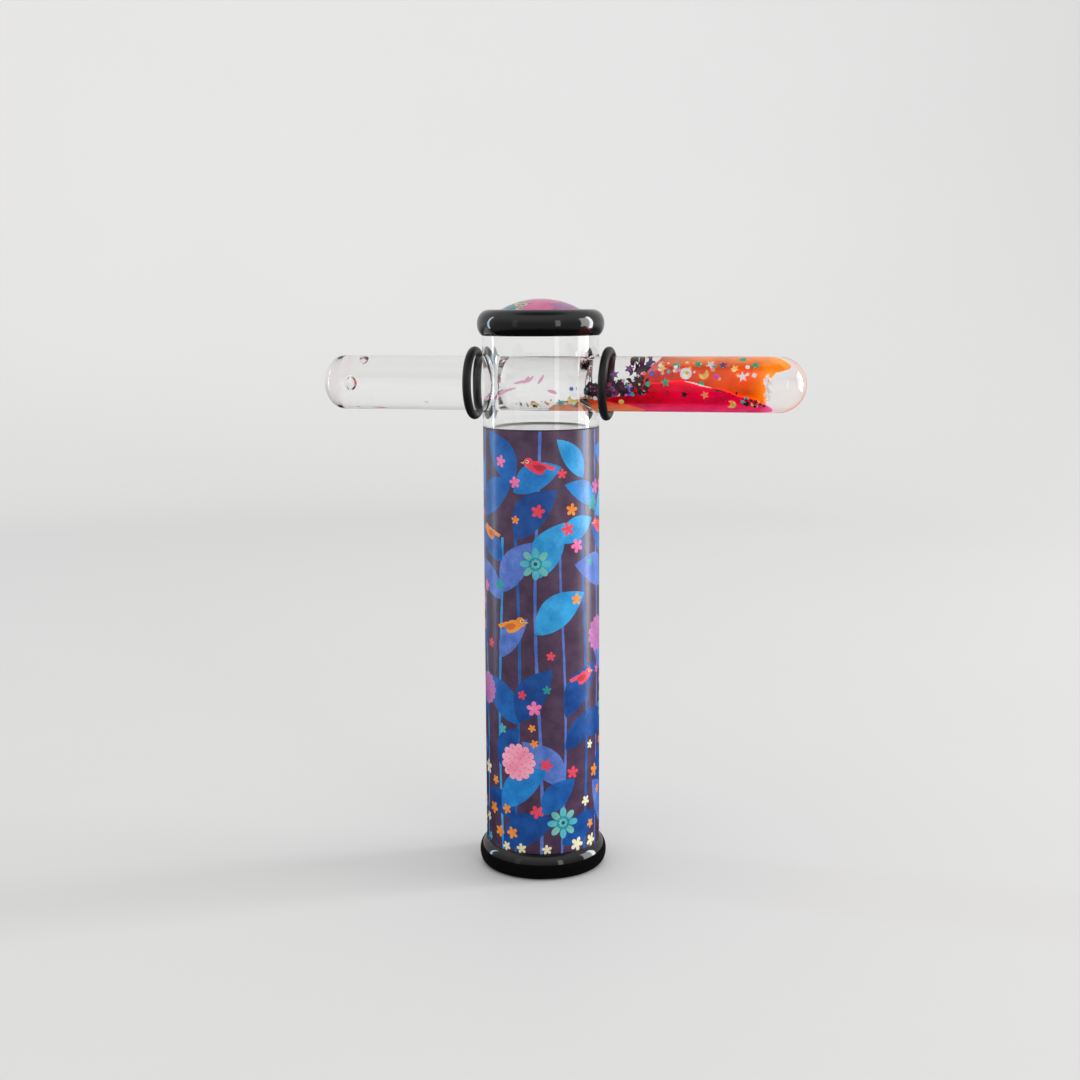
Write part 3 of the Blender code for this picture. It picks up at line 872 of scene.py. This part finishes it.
def dome():
    """The clear button over its printed disc: a pink flower on teal, yellow and lilac grounds."""
    rim = degrees(acos(DOME_RADIUS / DOME_CURVE))
    profile = arc((0, DOME_HIGH.z - DOME_CURVE), (DOME_CURVE, DOME_CURVE), 90, rim, 24)
    base = PICTURE_HIGH.z - 0.1 * MM
    resin = clear_material("dome_clear", 1.5)
    button = lathe("dome_disc_clear", profile + [(DOME_RADIUS, base), (0, base)], BARREL, resin)
    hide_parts("dome_disc")
    shapes = []

    def draw(ink, points):
        shapes.append((ink, counter_clockwise(points)))

    size = DOME_RADIUS / MM - 0.08
    draw("plum", round_shape(0, 0, size, 72))
    draw("jade", leaf_shape((-11.0, -14), (-9.5, 14), 13, -0.15, 20))
    draw("teal", leaf_shape((-10.5, -9), (-9.0, 9), 5, -0.1, 20))
    draw("mauve", leaf_shape((9.5, -14), (9.0, 14), 13, 0.15, 20))
    for i in range(90):
        draw("cream" if i % 3 else "amber", round_shape(-5.1 + 1.5 * sin(2.3 * i), -11 + 0.245 * i, 0.5, 8))
    for x, y in ((0.4, 0.0), (-0.6, -8.2), (0.2, 8.4)):
        ruffled_bloom(x, y, 4.7, draw, "rose")
    flat, cells, inks = cut_by_outlines((-size, -size), (size, size), shapes, 2)
    slots = sorted(set(inks))
    verts = [(BARREL_X + x * MM, y * MM, PICTURE_HIGH.z) for x, y in flat]

    def in_disc(cell):
        middle = sum((flat[i] for i in cell), Vector((0, 0))) / len(cell)
        return middle.length < size and max(flat[i].length for i in cell) < 1.001 * size

    kept = [(cell, ink) for cell, ink in zip(cells, inks) if in_disc(cell)]
    picture = new_object("picture_disc_print", verts, [cell for cell, _ in kept], BARREL)
    for ink in slots:
        # The picture's inks get a painted glow that brightens them under the dome.
        picture.data.materials.append(paint("picture_" + ink, *INKS[ink], glow=0.35))
    for face, (_, ink) in zip(picture.data.polygons, kept):
        face.material_index = slots.index(ink)
    turn = Matrix.Translation((BARREL_X, 0, 0)) @ Matrix.Rotation(CAMERA_AZIMUTH, 4, "Z")
    picture.data.transform(turn @ Matrix.Translation((-BARREL_X, 0, 0)))
    paper = picture.modifiers.new("Solidify", "SOLIDIFY")
    paper.thickness = PICTURE_THICKNESS
    paper.offset = -1.0
    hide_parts("picture_disc")


# Wand ------------------------------------------------------------------------------------------


def wand_glass():
    """Tube, plug and clear carrier liquid bend light alike, so one clear body stands for all three."""
    clear = clear_material("wand_clear", 1.47, shade=(0.985, 0.985, 0.985))
    right = arc((0, WAND_RIGHT - WAND_RADIUS), (WAND_RADIUS, WAND_RADIUS), 90, 0, 32)
    seam = [
        (WAND_RADIUS, PLUG_JOINT + 0.14 * MM),
        (WAND_RADIUS - 0.03 * MM, PLUG_JOINT),
        (WAND_RADIUS, PLUG_JOINT - 0.14 * MM),
    ]
    left = arc((0, PLUG_JOINT - 0.3 * MM), (WAND_RADIUS, PLUG_JOINT - 0.3 * MM - WAND_LEFT), 0, -90, 24)
    obj = lathe("wand_tube_clear", right + seam + left, WAND, clear, along_x=True)
    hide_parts("wand_tube")


def plug_core():
    """The domed plug inside the wand's end, only just visible, with a faint pink tint in patches."""
    nodes = Nodes("plug_clear", Roughness=0.0, IOR=1.001, Transmission_Weight=1.0)
    tone = nodes.mix(nodes.spread(nodes.noise(260.0, 2.0), 0.5, 0.66), (1, 1, 1), (1.0, 0.91, 0.935))
    nodes.colour(tone)
    lets_lamps_through(nodes, nodes.main.outputs["BSDF"], (0.99, 0.97, 0.97))
    end = arc((0, PLUG_JOINT - 0.3 * MM), (WAND_RADIUS - 0.5 * MM, PLUG_JOINT - WAND_LEFT - 1.0 * MM), 0, -90, 16)
    spigot = [
        (0, PLUG_END), (BORE_RADIUS - 1.6 * MM, PLUG_END),
        (BORE_RADIUS, PLUG_END - 1.5 * MM), (BORE_RADIUS, PLUG_JOINT),
    ]
    obj = lathe("wand_plug_clear", spigot + end, WAND, nodes.material, along_x=True)
    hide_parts("wand_plug")


def o_rings(material):
    """The right ring leans, and sits further out so that it stays clear of the holder at the slide's end."""
    for node, name, lean, out in (
        ("o_ring_left", "rubber_ring_left", 0.0, 0.0), ("o_ring_right", "rubber_ring_right", 2.0, 0.35 * MM),
    ):
        low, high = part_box(node)
        middle = (low.x + high.x) / 2 - BARREL_X + out
        radius = (high.z - low.z) / 2 - RING_CORD + 0.06 * MM
        profile = arc((radius, middle), (RING_CORD, RING_CORD), 90, -270, 36)[:-1]
        ring = lathe(name, profile, RINGS, material, loop=True, along_x=True)
        centre = Matrix.Translation((BARREL_X + middle, 0, WAND_Z))
        ring.data.transform(centre @ Matrix.Rotation(radians(lean), 4, "Y") @ centre.inverted())
        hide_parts(node)


# Wand's contents -------------------------------------------------------------------------------

# Everything in this section is in millimetres, with distances along the wand from the barrel's axis.
LIQUID_RADIUS = 5.9
LIQUID_STATIONS, LIQUID_SIDES = 90, 56
SWELL_OFFSET = Vector((7.0, 3.0, 1.0))
FILM_RADIUS, FILM_THICKNESS = 6.45, 0.05
INNER_FLAKES, OUTER_FLAKES = 6.0, 6.5
LARGEST_OUTER_FLAKE = 0.9
HALF_FLAKE = 0.03
GLITTER_SEED = 11


def in_wand(distance, radius, angle):
    """The world point at a distance along the wand, a radius from its axis and an angle up from its front."""
    return Vector((BARREL_X + distance * MM, -radius * MM * cos(angle), WAND_Z + radius * MM * sin(angle)))


def along_curve(points, x):
    """The height of a smooth line through (distance, height) points."""
    for (x0, z0), (x1, z1) in zip(points, points[1:]):
        if x <= x1:
            t = (x - x0) / (x1 - x0)
            return z0 + (z1 - z0) * (3 * t * t - 2 * t ** 3)
    return points[-1][1]


def liquid(name, top, bottom, material, node):
    """A body of liquid between two side lines, filling the bore's round section, with soft corners."""
    first, last = top[0][0], top[-1][0]
    verts, faces = [], []
    for i in range(LIQUID_STATIONS + 1):
        x = first + (last - first) * (0.5 - 0.5 * cos(pi * i / LIQUID_STATIONS))
        high, low = along_curve(top, x), along_curve(bottom, x)
        middle, half = (high + low) / 2, max(0.02, (high - low) / 2)
        end = min(1.0, 2.2 * sqrt(max(0.0, min(x - first, last - x) / (last - first))) + 0.12)
        for t in angles(LIQUID_SIDES):
            rise, reach = sin(t), cos(t)
            z = middle + half * abs(rise) ** 0.45 * (1 if rise > 0 else -1)
            wide = sqrt(max(0.0, LIQUID_RADIUS ** 2 - z * z))
            y = wide * end * abs(reach) ** 0.4 * (1 if reach > 0 else -1)
            place = Vector((x, y, z))
            place.y += 0.22 * noise.noise(place * 0.42 + SWELL_OFFSET) * reach
            place.z += 0.12 * noise.noise(place * 0.35)
            verts.append(Vector((BARREL_X, 0, WAND_Z)) + place * MM)
    for i in range(0, LIQUID_STATIONS * LIQUID_SIDES, LIQUID_SIDES):
        for k in range(LIQUID_SIDES):
            j = (k + 1) % LIQUID_SIDES
            faces.append((i + k, i + j, i + LIQUID_SIDES + j, i + LIQUID_SIDES + k))
    faces += [tuple(reversed(range(LIQUID_SIDES))), tuple(range(len(verts) - LIQUID_SIDES, len(verts)))]
    obj = new_object(name, verts, faces, WAND, material)
    obj.data.shade_smooth()
    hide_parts(node)


def liquids():
    orange = coloured_liquid(
        "liquid_orange",
        [
            (30, (0.52, 0.022, 0.025)), (42, (0.56, 0.036, 0.02)), (50, (0.6, 0.06, 0.008)),
            (61, (0.84, 0.07, 0.001)), (67, (1.0, 0.23, 0.001)),
        ],
        (0.84, 0.32, 0.1), 4.4, 5.9,
    )
    magenta = coloured_liquid(
        "liquid_magenta",
        [
            (18, (0.26, 0.0005, 0.005)), (34, (0.5, 0.0005, 0.012)), (42, (0.76, 0.0005, 0.034)),
            (64, (0.7, 0.0005, 0.04)), (67, (0.9, 0.16, 0.42)),
        ],
        (1.0, 0.05, 0.24), -4.6, -6.0,
    )
    low_orange = coloured_liquid(
        "liquid_orange_low",
        [(3, (0.46, 0.19, 0.1)), (10, (0.42, 0.1, 0.04)), (15, (0.42, 0.032, 0.004)), (25, (0.68, 0.08, 0.012))],
        (0.78, 0.24, 0.1), -4.8, -5.9,
    )
    liquid(
        "orange_liquid_body",
        [(29.5, 1.7), (33.5, 3.2), (37.8, 5.1), (42.5, 5.85), (66.0, 5.8), (69.0, 4.9), (71.6, 3.6)],
        [
            (29.5, 1.3), (33, 0.2), (42, 0.9), (51, -0.8), (61.5, -3.2), (65.2, -4.2), (66.6, -1.0), (67.4, 1.6),
            (69.0, 2.9), (71.6, 3.4),
        ],
        orange, "orange_liquid",
    )
    liquid(
        "magenta_liquid_body",
        [
            (17.5, -3.4), (25.4, -2.6), (30, 0.9), (34, 0.4), (42, 1.1), (51, -0.6), (61.5, -3.0), (65.2, -4.1),
            (67.7, -4.8),
        ],
        [(17.5, -4.2), (24, -4.7), (31, -5.5), (35, -5.86), (64, -5.88), (67.7, -5.7)],
        magenta, "magenta_liquid",
    )
    liquid(
        "orange_liquid_low_body",
        [(2.6, -5.5), (5, -4.7), (9, -3.9), (14, -3.1), (18, -3.7), (24, -4.7), (31, -5.6)],
        [(2.6, -5.7), (5, -5.86), (28, -5.88), (31, -5.84)],
        low_orange, "orange_liquid_low",
    )


def streak(name, points, width, material):
    """A thin film drawn out along the bore's front, through (distance, height) points, tapering to both ends."""
    path = smooth_path([(x, FILM_RADIUS * asin(z / FILM_RADIUS)) for x, z in points])
    verts, faces = [], []
    for i, (x, a) in enumerate(path):
        ahead = Vector(path[min(i + 1, len(path) - 1)]) - Vector(path[max(i - 1, 0)])
        across = Vector((-ahead.y, ahead.x)).normalized()
        half = 0.5 * width * sin(pi * (i + 0.3) / (len(path) - 0.4)) ** 0.6 * (1 + 0.25 * sin(2.3 * i))
        for depth in (0.0, FILM_THICKNESS):
            for side in (1, -1):
                angle = (a + across.y * half * side) / FILM_RADIUS
                verts.append(in_wand(x + across.x * half * side, FILM_RADIUS - depth, angle))
    count = len(path)
    for i in range(count - 1):
        for a, b in ((0, 1), (1, 3), (3, 2), (2, 0)):
            faces.append((4 * i + a, 4 * i + b, 4 * i + 4 + b, 4 * i + 4 + a))
    faces += [(0, 2, 3, 1), (4 * count - 4, 4 * count - 3, 4 * count - 1, 4 * count - 2)]
    return new_object(name, verts, faces, WAND, material)


def streaks():
    pale = coloured_film("film_pink", (0.86, 0.42, 0.6))
    deep = coloured_film("film_magenta", (0.6, 0.05, 0.25))
    # A pale glowing film: painted highlight, laid along where the orange and magenta liquids meet.
    light = coloured_film("film_painted_highlight", (0.93, 0.9, 0.88))
    dark = coloured_film("film_dark", (0.03, 0.015, 0.03))
    for name, points, width, material in (
        ("pink_film_a", [(-6.2, 0.3), (-4.6, 0.6), (-3.4, 1.0)], 0.7, pale),
        ("pink_film_b", [(-3.7, 0.3), (-2.6, 1.2), (-1.9, 2.2)], 0.9, pale),
        ("pink_film_c", [(-2.4, 0.6), (-1.5, 1.4), (-0.7, 2.3)], 0.7, pale),
        ("pink_film_d", [(0.7, 0.3), (1.5, 1.3), (2.3, 2.6)], 0.8, pale),
        ("pink_film_e", [(3.4, -1.6), (4.9, -1.9), (6.0, -2.4)], 1.0, pale),
        ("pink_film_f", [(-14.2, -5.4), (-11.6, -3.6), (-9.0, -1.9), (-5.6, -0.9)], 0.8, pale),
        ("magenta_film", [(-12.4, -3.9), (-11.2, -2.9), (-10.0, -2.2)], 0.4, deep),
        ("dark_film", [(-11.3, -2.6), (-10.2, -1.8), (-9.2, -1.4)], 0.28, dark),
        ("foot_film_a", [(-50.9, -6.25), (-48.8, -6.3), (-46.7, -6.35)], 0.5, deep),
        ("foot_film_b", [(-56.2, -6.2), (-55.0, -6.25)], 0.35, deep),
        ("foot_film_c", [(-34.2, -4.9), (-33.0, -5.0)], 0.3, pale),
        # Painted highlight: a pale line along where the two liquids meet.
        ("painted_highlight_film", [(43.2, 1.1), (45.4, 0.75), (48.2, 0.0), (51.0, -0.62)], 0.36, light),
        # Painted shade: a dark line carrying on along where the two liquids meet.
        ("dark_film_liquid", [(51.3, -1.0), (53.0, -1.3), (55.0, -1.9)], 0.45, dark),
    ):
        streak(name, points, width, material)


def air_bubbles():
    """Two air bubbles near the plug, as bodies of lower index inside the clear one."""
    nodes = Nodes("air", Roughness=0.0)
    glass = nodes.add("ShaderNodeBsdfGlass")
    glass.inputs["IOR"].default_value = 1 / 1.47
    glass.inputs["Roughness"].default_value = 0.0
    lets_lamps_through(nodes, glass.outputs["BSDF"], (1.0, 1.0, 1.0))
    for name, along, y, z, size in (
        ("air_bubble_a", -53.7, -1.2, 5.4, 1.5), ("air_bubble_b", -56.9, -3.6, -0.1, 2.0),
    ):
        profile = arc((0, along * MM), (size * MM, size * MM), 90, -90, 20)
        ball = lathe(name, profile, WAND, nodes.material, 48, along_x=True)
        ball.data.transform(Matrix.Translation((0, y * MM, z * MM)))


FLAKE_TONES = {
    "green": (0.02, 0.36, 0.2), "silver": (0.7, 0.7, 0.74), "white": (0.86, 0.86, 0.9),
    "gold": (0.78, 0.5, 0.1), "purple": (0.16, 0.04, 0.2), "orange": (0.8, 0.25, 0.08),
    "black": (0.012, 0.005, 0.01), "teal": (0.02, 0.4, 0.34), "yellow": (0.85, 0.68, 0.22),
    "navy": (0.02, 0.035, 0.12), "blue": (0.02, 0.1, 0.5), "pink": (0.8, 0.05, 0.42),
    "plum": (0.04, 0.006, 0.022), "wine": (0.2, 0.012, 0.07), "lilac": (0.5, 0.28, 0.6), "rose": (0.72, 0.3, 0.42),
}


def flake_outline(kind, size):
    if kind == "star":
        corners = [(size if i % 2 == 0 else 0.42 * size, pi / 2 + i * pi / 5) for i in range(10)]
        return [(reach * cos(angle), reach * sin(angle)) for reach, angle in corners]
    if kind == "moon":
        outer = [radians(50 + 26 * i) for i in range(11)]
        inner = [radians(-90 - 30 * i) for i in range(1, 6)]
        hollow = [(0.64 * size + 0.57 * size * cos(angle), 0.77 * size * sin(angle)) for angle in inner]
        return [(size * cos(angle), size * sin(angle)) for angle in outer] + hollow
    return [(size * cos(angle), size * sin(angle)) for angle in angles(4 if kind == "square" else 8)]


class Swarm(NamedTuple):
    """Fine glitter in a band along the wand, whose angles up from the front drift from near to far."""

    colours: str
    count: int
    along: tuple  # mm along the wand
    near: tuple  # degrees
    far: tuple
    kinds: str
    sizes: tuple  # mm
    behind: float  # share that lies round the back


SWARMS = (
    Swarm("plum black plum black plum wine plum black plum rose", 130, (13.5, 33), (-34, -4), (-16, 22),
          "star square moon star", (0.5, 1.4), 0.2),
    Swarm("gold green pink teal white plum", 26, (13, 33), (-40, -10), (-20, 8),
          "star dot square", (0.3, 0.8), 0.0),
    Swarm("black plum", 7, (24, 33), (22, 44), (22, 44), "star moon", (1.2, 1.9), 0.2),
    Swarm("white yellow teal white gold rose", 34, (35, 52), (26, 66), (32, 66),
          "star square star", (0.3, 1.1), 0.3),
    Swarm("gold green purple white", 12, (52, 65), (10, 60), (10, 60), "star square dot", (0.3, 0.8), 0.3),
    Swarm("black plum black teal gold", 36, (59.5, 65.5), (-50, -30), (-66, -42),
          "star square moon", (0.4, 1.1), 0.3),
    Swarm("white", 44, (65.8, 67.6), (-38, 26), (-38, 26), "square dot", (0.2, 0.6), 0.0),
    Swarm("black navy plum", 26, (34, 62), (-46, -6), (-46, -16), "square dot", (0.12, 0.35), 0.0),
    Swarm("teal gold plum rose white green", 34, (-9, 15), (-72, -58), (-60, -30),
          "star square moon", (0.3, 1.0), 0.2),
)


def add_flake(verts, faces, outline, place):
    """A thin plate of this outline."""
    first, n = len(verts), len(outline)
    for height in (HALF_FLAKE, -HALF_FLAKE):
        verts.extend(place @ Vector((x * MM, y * MM, height * MM)) for x, y in outline)
    faces.append(tuple(first + i for i in range(n)))
    faces.append(tuple(first + n + i for i in reversed(range(n))))
    faces.extend((first + i, first + n + i, first + n + (i + 1) % n, first + (i + 1) % n) for i in range(n))


def fine_glitter():
    """Swarms of small flakes against the bore, on the front and, more thinly, round the back."""
    chance = random.Random(GLITTER_SEED)
    groups = {}
    for swarm in SWARMS:
        for _ in range(swarm.count):
            colour = chance.choice(swarm.colours.split())
            size = chance.uniform(*swarm.sizes)
            share = chance.random()
            distance = swarm.along[0] + (swarm.along[1] - swarm.along[0]) * share
            low, high = (a + (b - a) * share for a, b in zip(swarm.near, swarm.far))
            angle = radians(chance.uniform(low, high))
            if chance.random() < swarm.behind:
                angle = pi - angle
            layer = chance.choice((INNER_FLAKES, OUTER_FLAKES))
            if layer == OUTER_FLAKES:
                size = min(size, LARGEST_OUTER_FLAKE)
            place = Matrix.Translation(in_wand(distance, layer + chance.uniform(-0.03, 0.03), angle))
            tilt = Matrix.Rotation(pi / 2 - angle, 4, "X") @ Matrix.Rotation(chance.uniform(-0.18, 0.18), 4, "Y")
            turn = Matrix.Rotation(chance.uniform(0, 2 * pi), 4, "Z")
            outline = flake_outline(chance.choice(swarm.kinds.split()), size)
            add_flake(*groups.setdefault(colour, ([], [])), outline, place @ tilt @ turn)
    foils = {colour: foil("foil_" + colour, tone) for colour, tone in FLAKE_TONES.items()}
    for colour, (verts, faces) in groups.items():
        new_object("fine_glitter_" + colour, verts, faces, WAND, foils[colour])
    return foils


def finish_nodes(foils, clear, black_foam):
    """The model's own nodes that stay in view take detailed materials."""
    finishes = {
        "body_tube": card(), "mirror_1": mirror_glass(), "foam_collar_lower": black_foam,
        "foam_collar_upper": black_foam, "object_window": clear, "eyepiece_window": clear,
    }
    finishes["mirror_2"] = finishes["mirror_3"] = finishes["mirror_1"]
    for name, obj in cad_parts.items():
        if name.startswith("glitter_"):
            finishes[name] = foils[name.split("_")[2]]
        if name in finishes:
            for slot in obj.material_slots:
                slot.material = finishes[name]


# Studio ----------------------------------------------------------------------------------------

FLOOR_RADIUS = 0.8
SWEEP_RADIUS = 0.35
TABLE_RADIUS = 0.25
TABLE_TOP = -0.0005


def from_camera_side(degrees_right, distance, height):
    """A point at an angle to the right of the camera's side of the barrel."""
    angle = CAMERA_AZIMUTH + radians(degrees_right)
    return Vector((BARREL_X + distance * sin(angle), -distance * cos(angle), height))


def studio():
    """A pale floor that sweeps up into a wall all round. Reflections see a dark table and a dimmer room instead."""
    nodes = Nodes("studio_pale", Roughness=0.6, Specular_IOR_Level=0.2)
    tone = nodes.mix(nodes.noise(7.0, 2.0), (0.645, 0.64, 0.632), (0.66, 0.655, 0.647))
    nodes.colour(tone)
    floor = lathe("floor", [(0, 0), (TABLE_RADIUS, 0), (FLOOR_RADIUS, 0)], None, nodes.material)
    sweep = arc((FLOOR_RADIUS, SWEEP_RADIUS), (SWEEP_RADIUS, SWEEP_RADIUS), -90, 0, 24)
    wall_radius = FLOOR_RADIUS + SWEEP_RADIUS
    wall = lathe("backdrop", sweep + [(wall_radius, 0.9), (wall_radius, 1.8)], None, nodes.material)
    wall.visible_diffuse = False
    wall.visible_shadow = False
    floor.visible_glossy = wall.visible_glossy = False
    dark = Nodes("reflected_table", Base_Color=(0.03, 0.022, 0.02, 1.0), Roughness=0.8, Specular_IOR_Level=0.1)
    table = lathe("reflected_table", [(0, TABLE_TOP), (TABLE_RADIUS, TABLE_TOP)], None, dark.material)
    table.visible_camera = table.visible_diffuse = table.visible_transmission = table.visible_shadow = False


def room_light():
    """Even light from all round. Reflections see a pale wall behind, and a darker room in front."""
    world = bpy.data.worlds.new("studio")
    bpy.context.scene.world = world
    world.use_nodes = True
    nodes = Tree(world.node_tree)
    background = world.node_tree.nodes["Background"]
    background.inputs["Color"].default_value = (1.0, 0.995, 0.985, 1.0)
    place = nodes.add("ShaderNodeTexCoord")
    axes = nodes.add("ShaderNodeSeparateXYZ")
    nodes.link(place.outputs["Generated"], axes.inputs["Vector"])

    def ramp(source, start, end, low, high):
        return nodes.spread(source, start, end, low, high, "SMOOTHSTEP")

    height = axes.outputs["Z"]
    lower = nodes.math("ADD", ramp(height, -0.6, -0.3, 0.02, 0.3), ramp(height, -0.1, 0.75, 0.0, 0.5))
    front = nodes.math("SUBTRACT", lower, ramp(height, 0.82, 0.97, 0.0, 0.62), clamp=True)
    back = ramp(height, -0.3, -0.02, 0.1, 0.65)
    across = nodes.math("MULTIPLY", axes.outputs["X"], -sin(CAMERA_AZIMUTH))
    away = nodes.math("ADD", across, nodes.math("MULTIPLY", axes.outputs["Y"], cos(CAMERA_AZIMUTH)))
    room = nodes.mix_numbers(ramp(away, -0.1, 0.5, 0.0, 1.0), front, back)
    path = nodes.add("ShaderNodeLightPath").outputs
    mirrored = nodes.math("SUBTRACT", path["Is Glossy Ray"], path["Is Transmission Ray"], clamp=True)
    nodes.link(nodes.mix_numbers(mirrored, 0.88, room), background.inputs["Strength"])


def window_light(name, degrees_right, distance, low, high, width, radiance, colour):
    """An upright bright pane, facing the barrel."""
    data = bpy.data.lights.new(name, "AREA")
    data.shape = "RECTANGLE"
    data.size, data.size_y = width, high - low
    data.energy = radiance * pi * width * (high - low)
    data.color = colour
    light = bpy.data.objects.new(name, data)
    bpy.context.scene.collection.objects.link(light)
    light.location = from_camera_side(degrees_right, distance, (low + high) / 2)
    aim = Vector((BARREL_X, 0, light.location.z)) - light.location
    light.rotation_mode = "QUATERNION"
    light.rotation_quaternion = aim.to_track_quat("-Z", "Y")
    light.visible_camera = False
    return light


def lights():
    window_light("window_right", 103, 1.6, -0.3, 1.1, 0.28, 13.0, (0.93, 0.97, 1.0))
    window_light("window_right_inner", 87.5, 1.6, -0.2, 1.0, 0.57, 4.5, (1.0, 0.97, 0.98))
    window_light("window_left", -108, 1.6, -0.3, 1.1, 0.15, 8.0, (0.6, 0.83, 1.0))
    window_light("window_front", 31, 1.7, -0.2, 0.85, 0.27, 2.2, (1.0, 0.98, 0.98))
    window_light("window_side", -47, 1.7, -0.2, 1.0, 0.3, 0.35, (0.85, 0.93, 1.0))
    overhead = window_light("overhead", 20, 0.3, 1.25, 2.15, 0.9, 1.0, (1.0, 0.99, 0.97))
    overhead.rotation_quaternion = (1.0, 0.0, 0.0, 0.0)
    overhead.visible_glossy = False


def camera():
    data = bpy.data.cameras.new("camera")
    data.lens = CAMERA_LENS
    data.sensor_width = 36.0
    data.clip_start = 0.01
    obj = bpy.data.objects.new("camera", data)
    bpy.context.scene.collection.objects.link(obj)
    turn = Matrix.Rotation(CAMERA_AZIMUTH, 4, "Z")
    place = turn @ Vector((CAMERA_ASIDE, -CAMERA_DISTANCE, CAMERA_HEIGHT))
    tilt = Matrix.Rotation(pi / 2 - CAMERA_PITCH, 4, "X") @ Matrix.Rotation(CAMERA_ROLL, 4, "Z")
    obj.matrix_world = Matrix.Translation(place + Vector((BARREL_X, 0, 0))) @ turn @ tilt
    bpy.context.scene.camera = obj


def main():
    scene = bpy.context.scene
    scene.view_settings.view_transform = "Standard"
    cycles = scene.cycles
    cycles.caustics_refractive = cycles.caustics_reflective = False
    cycles.max_bounces = cycles.transmission_bounces = 64
    cycles.glossy_bounces = 32
    cycles.transparent_max_bounces = 48
    camera()
    studio()
    room_light()
    lights()
    clear = clear_material("holder_clear", 1.49)
    caps(gloss_black())
    printed_wrap()
    wand_holder(clear)
    dome()
    wand_glass()
    plug_core()
    o_rings(rubber())
    liquids()
    streaks()
    air_bubbles()
    foils = fine_glitter()
    finish_nodes(foils, clear, foam())


main()
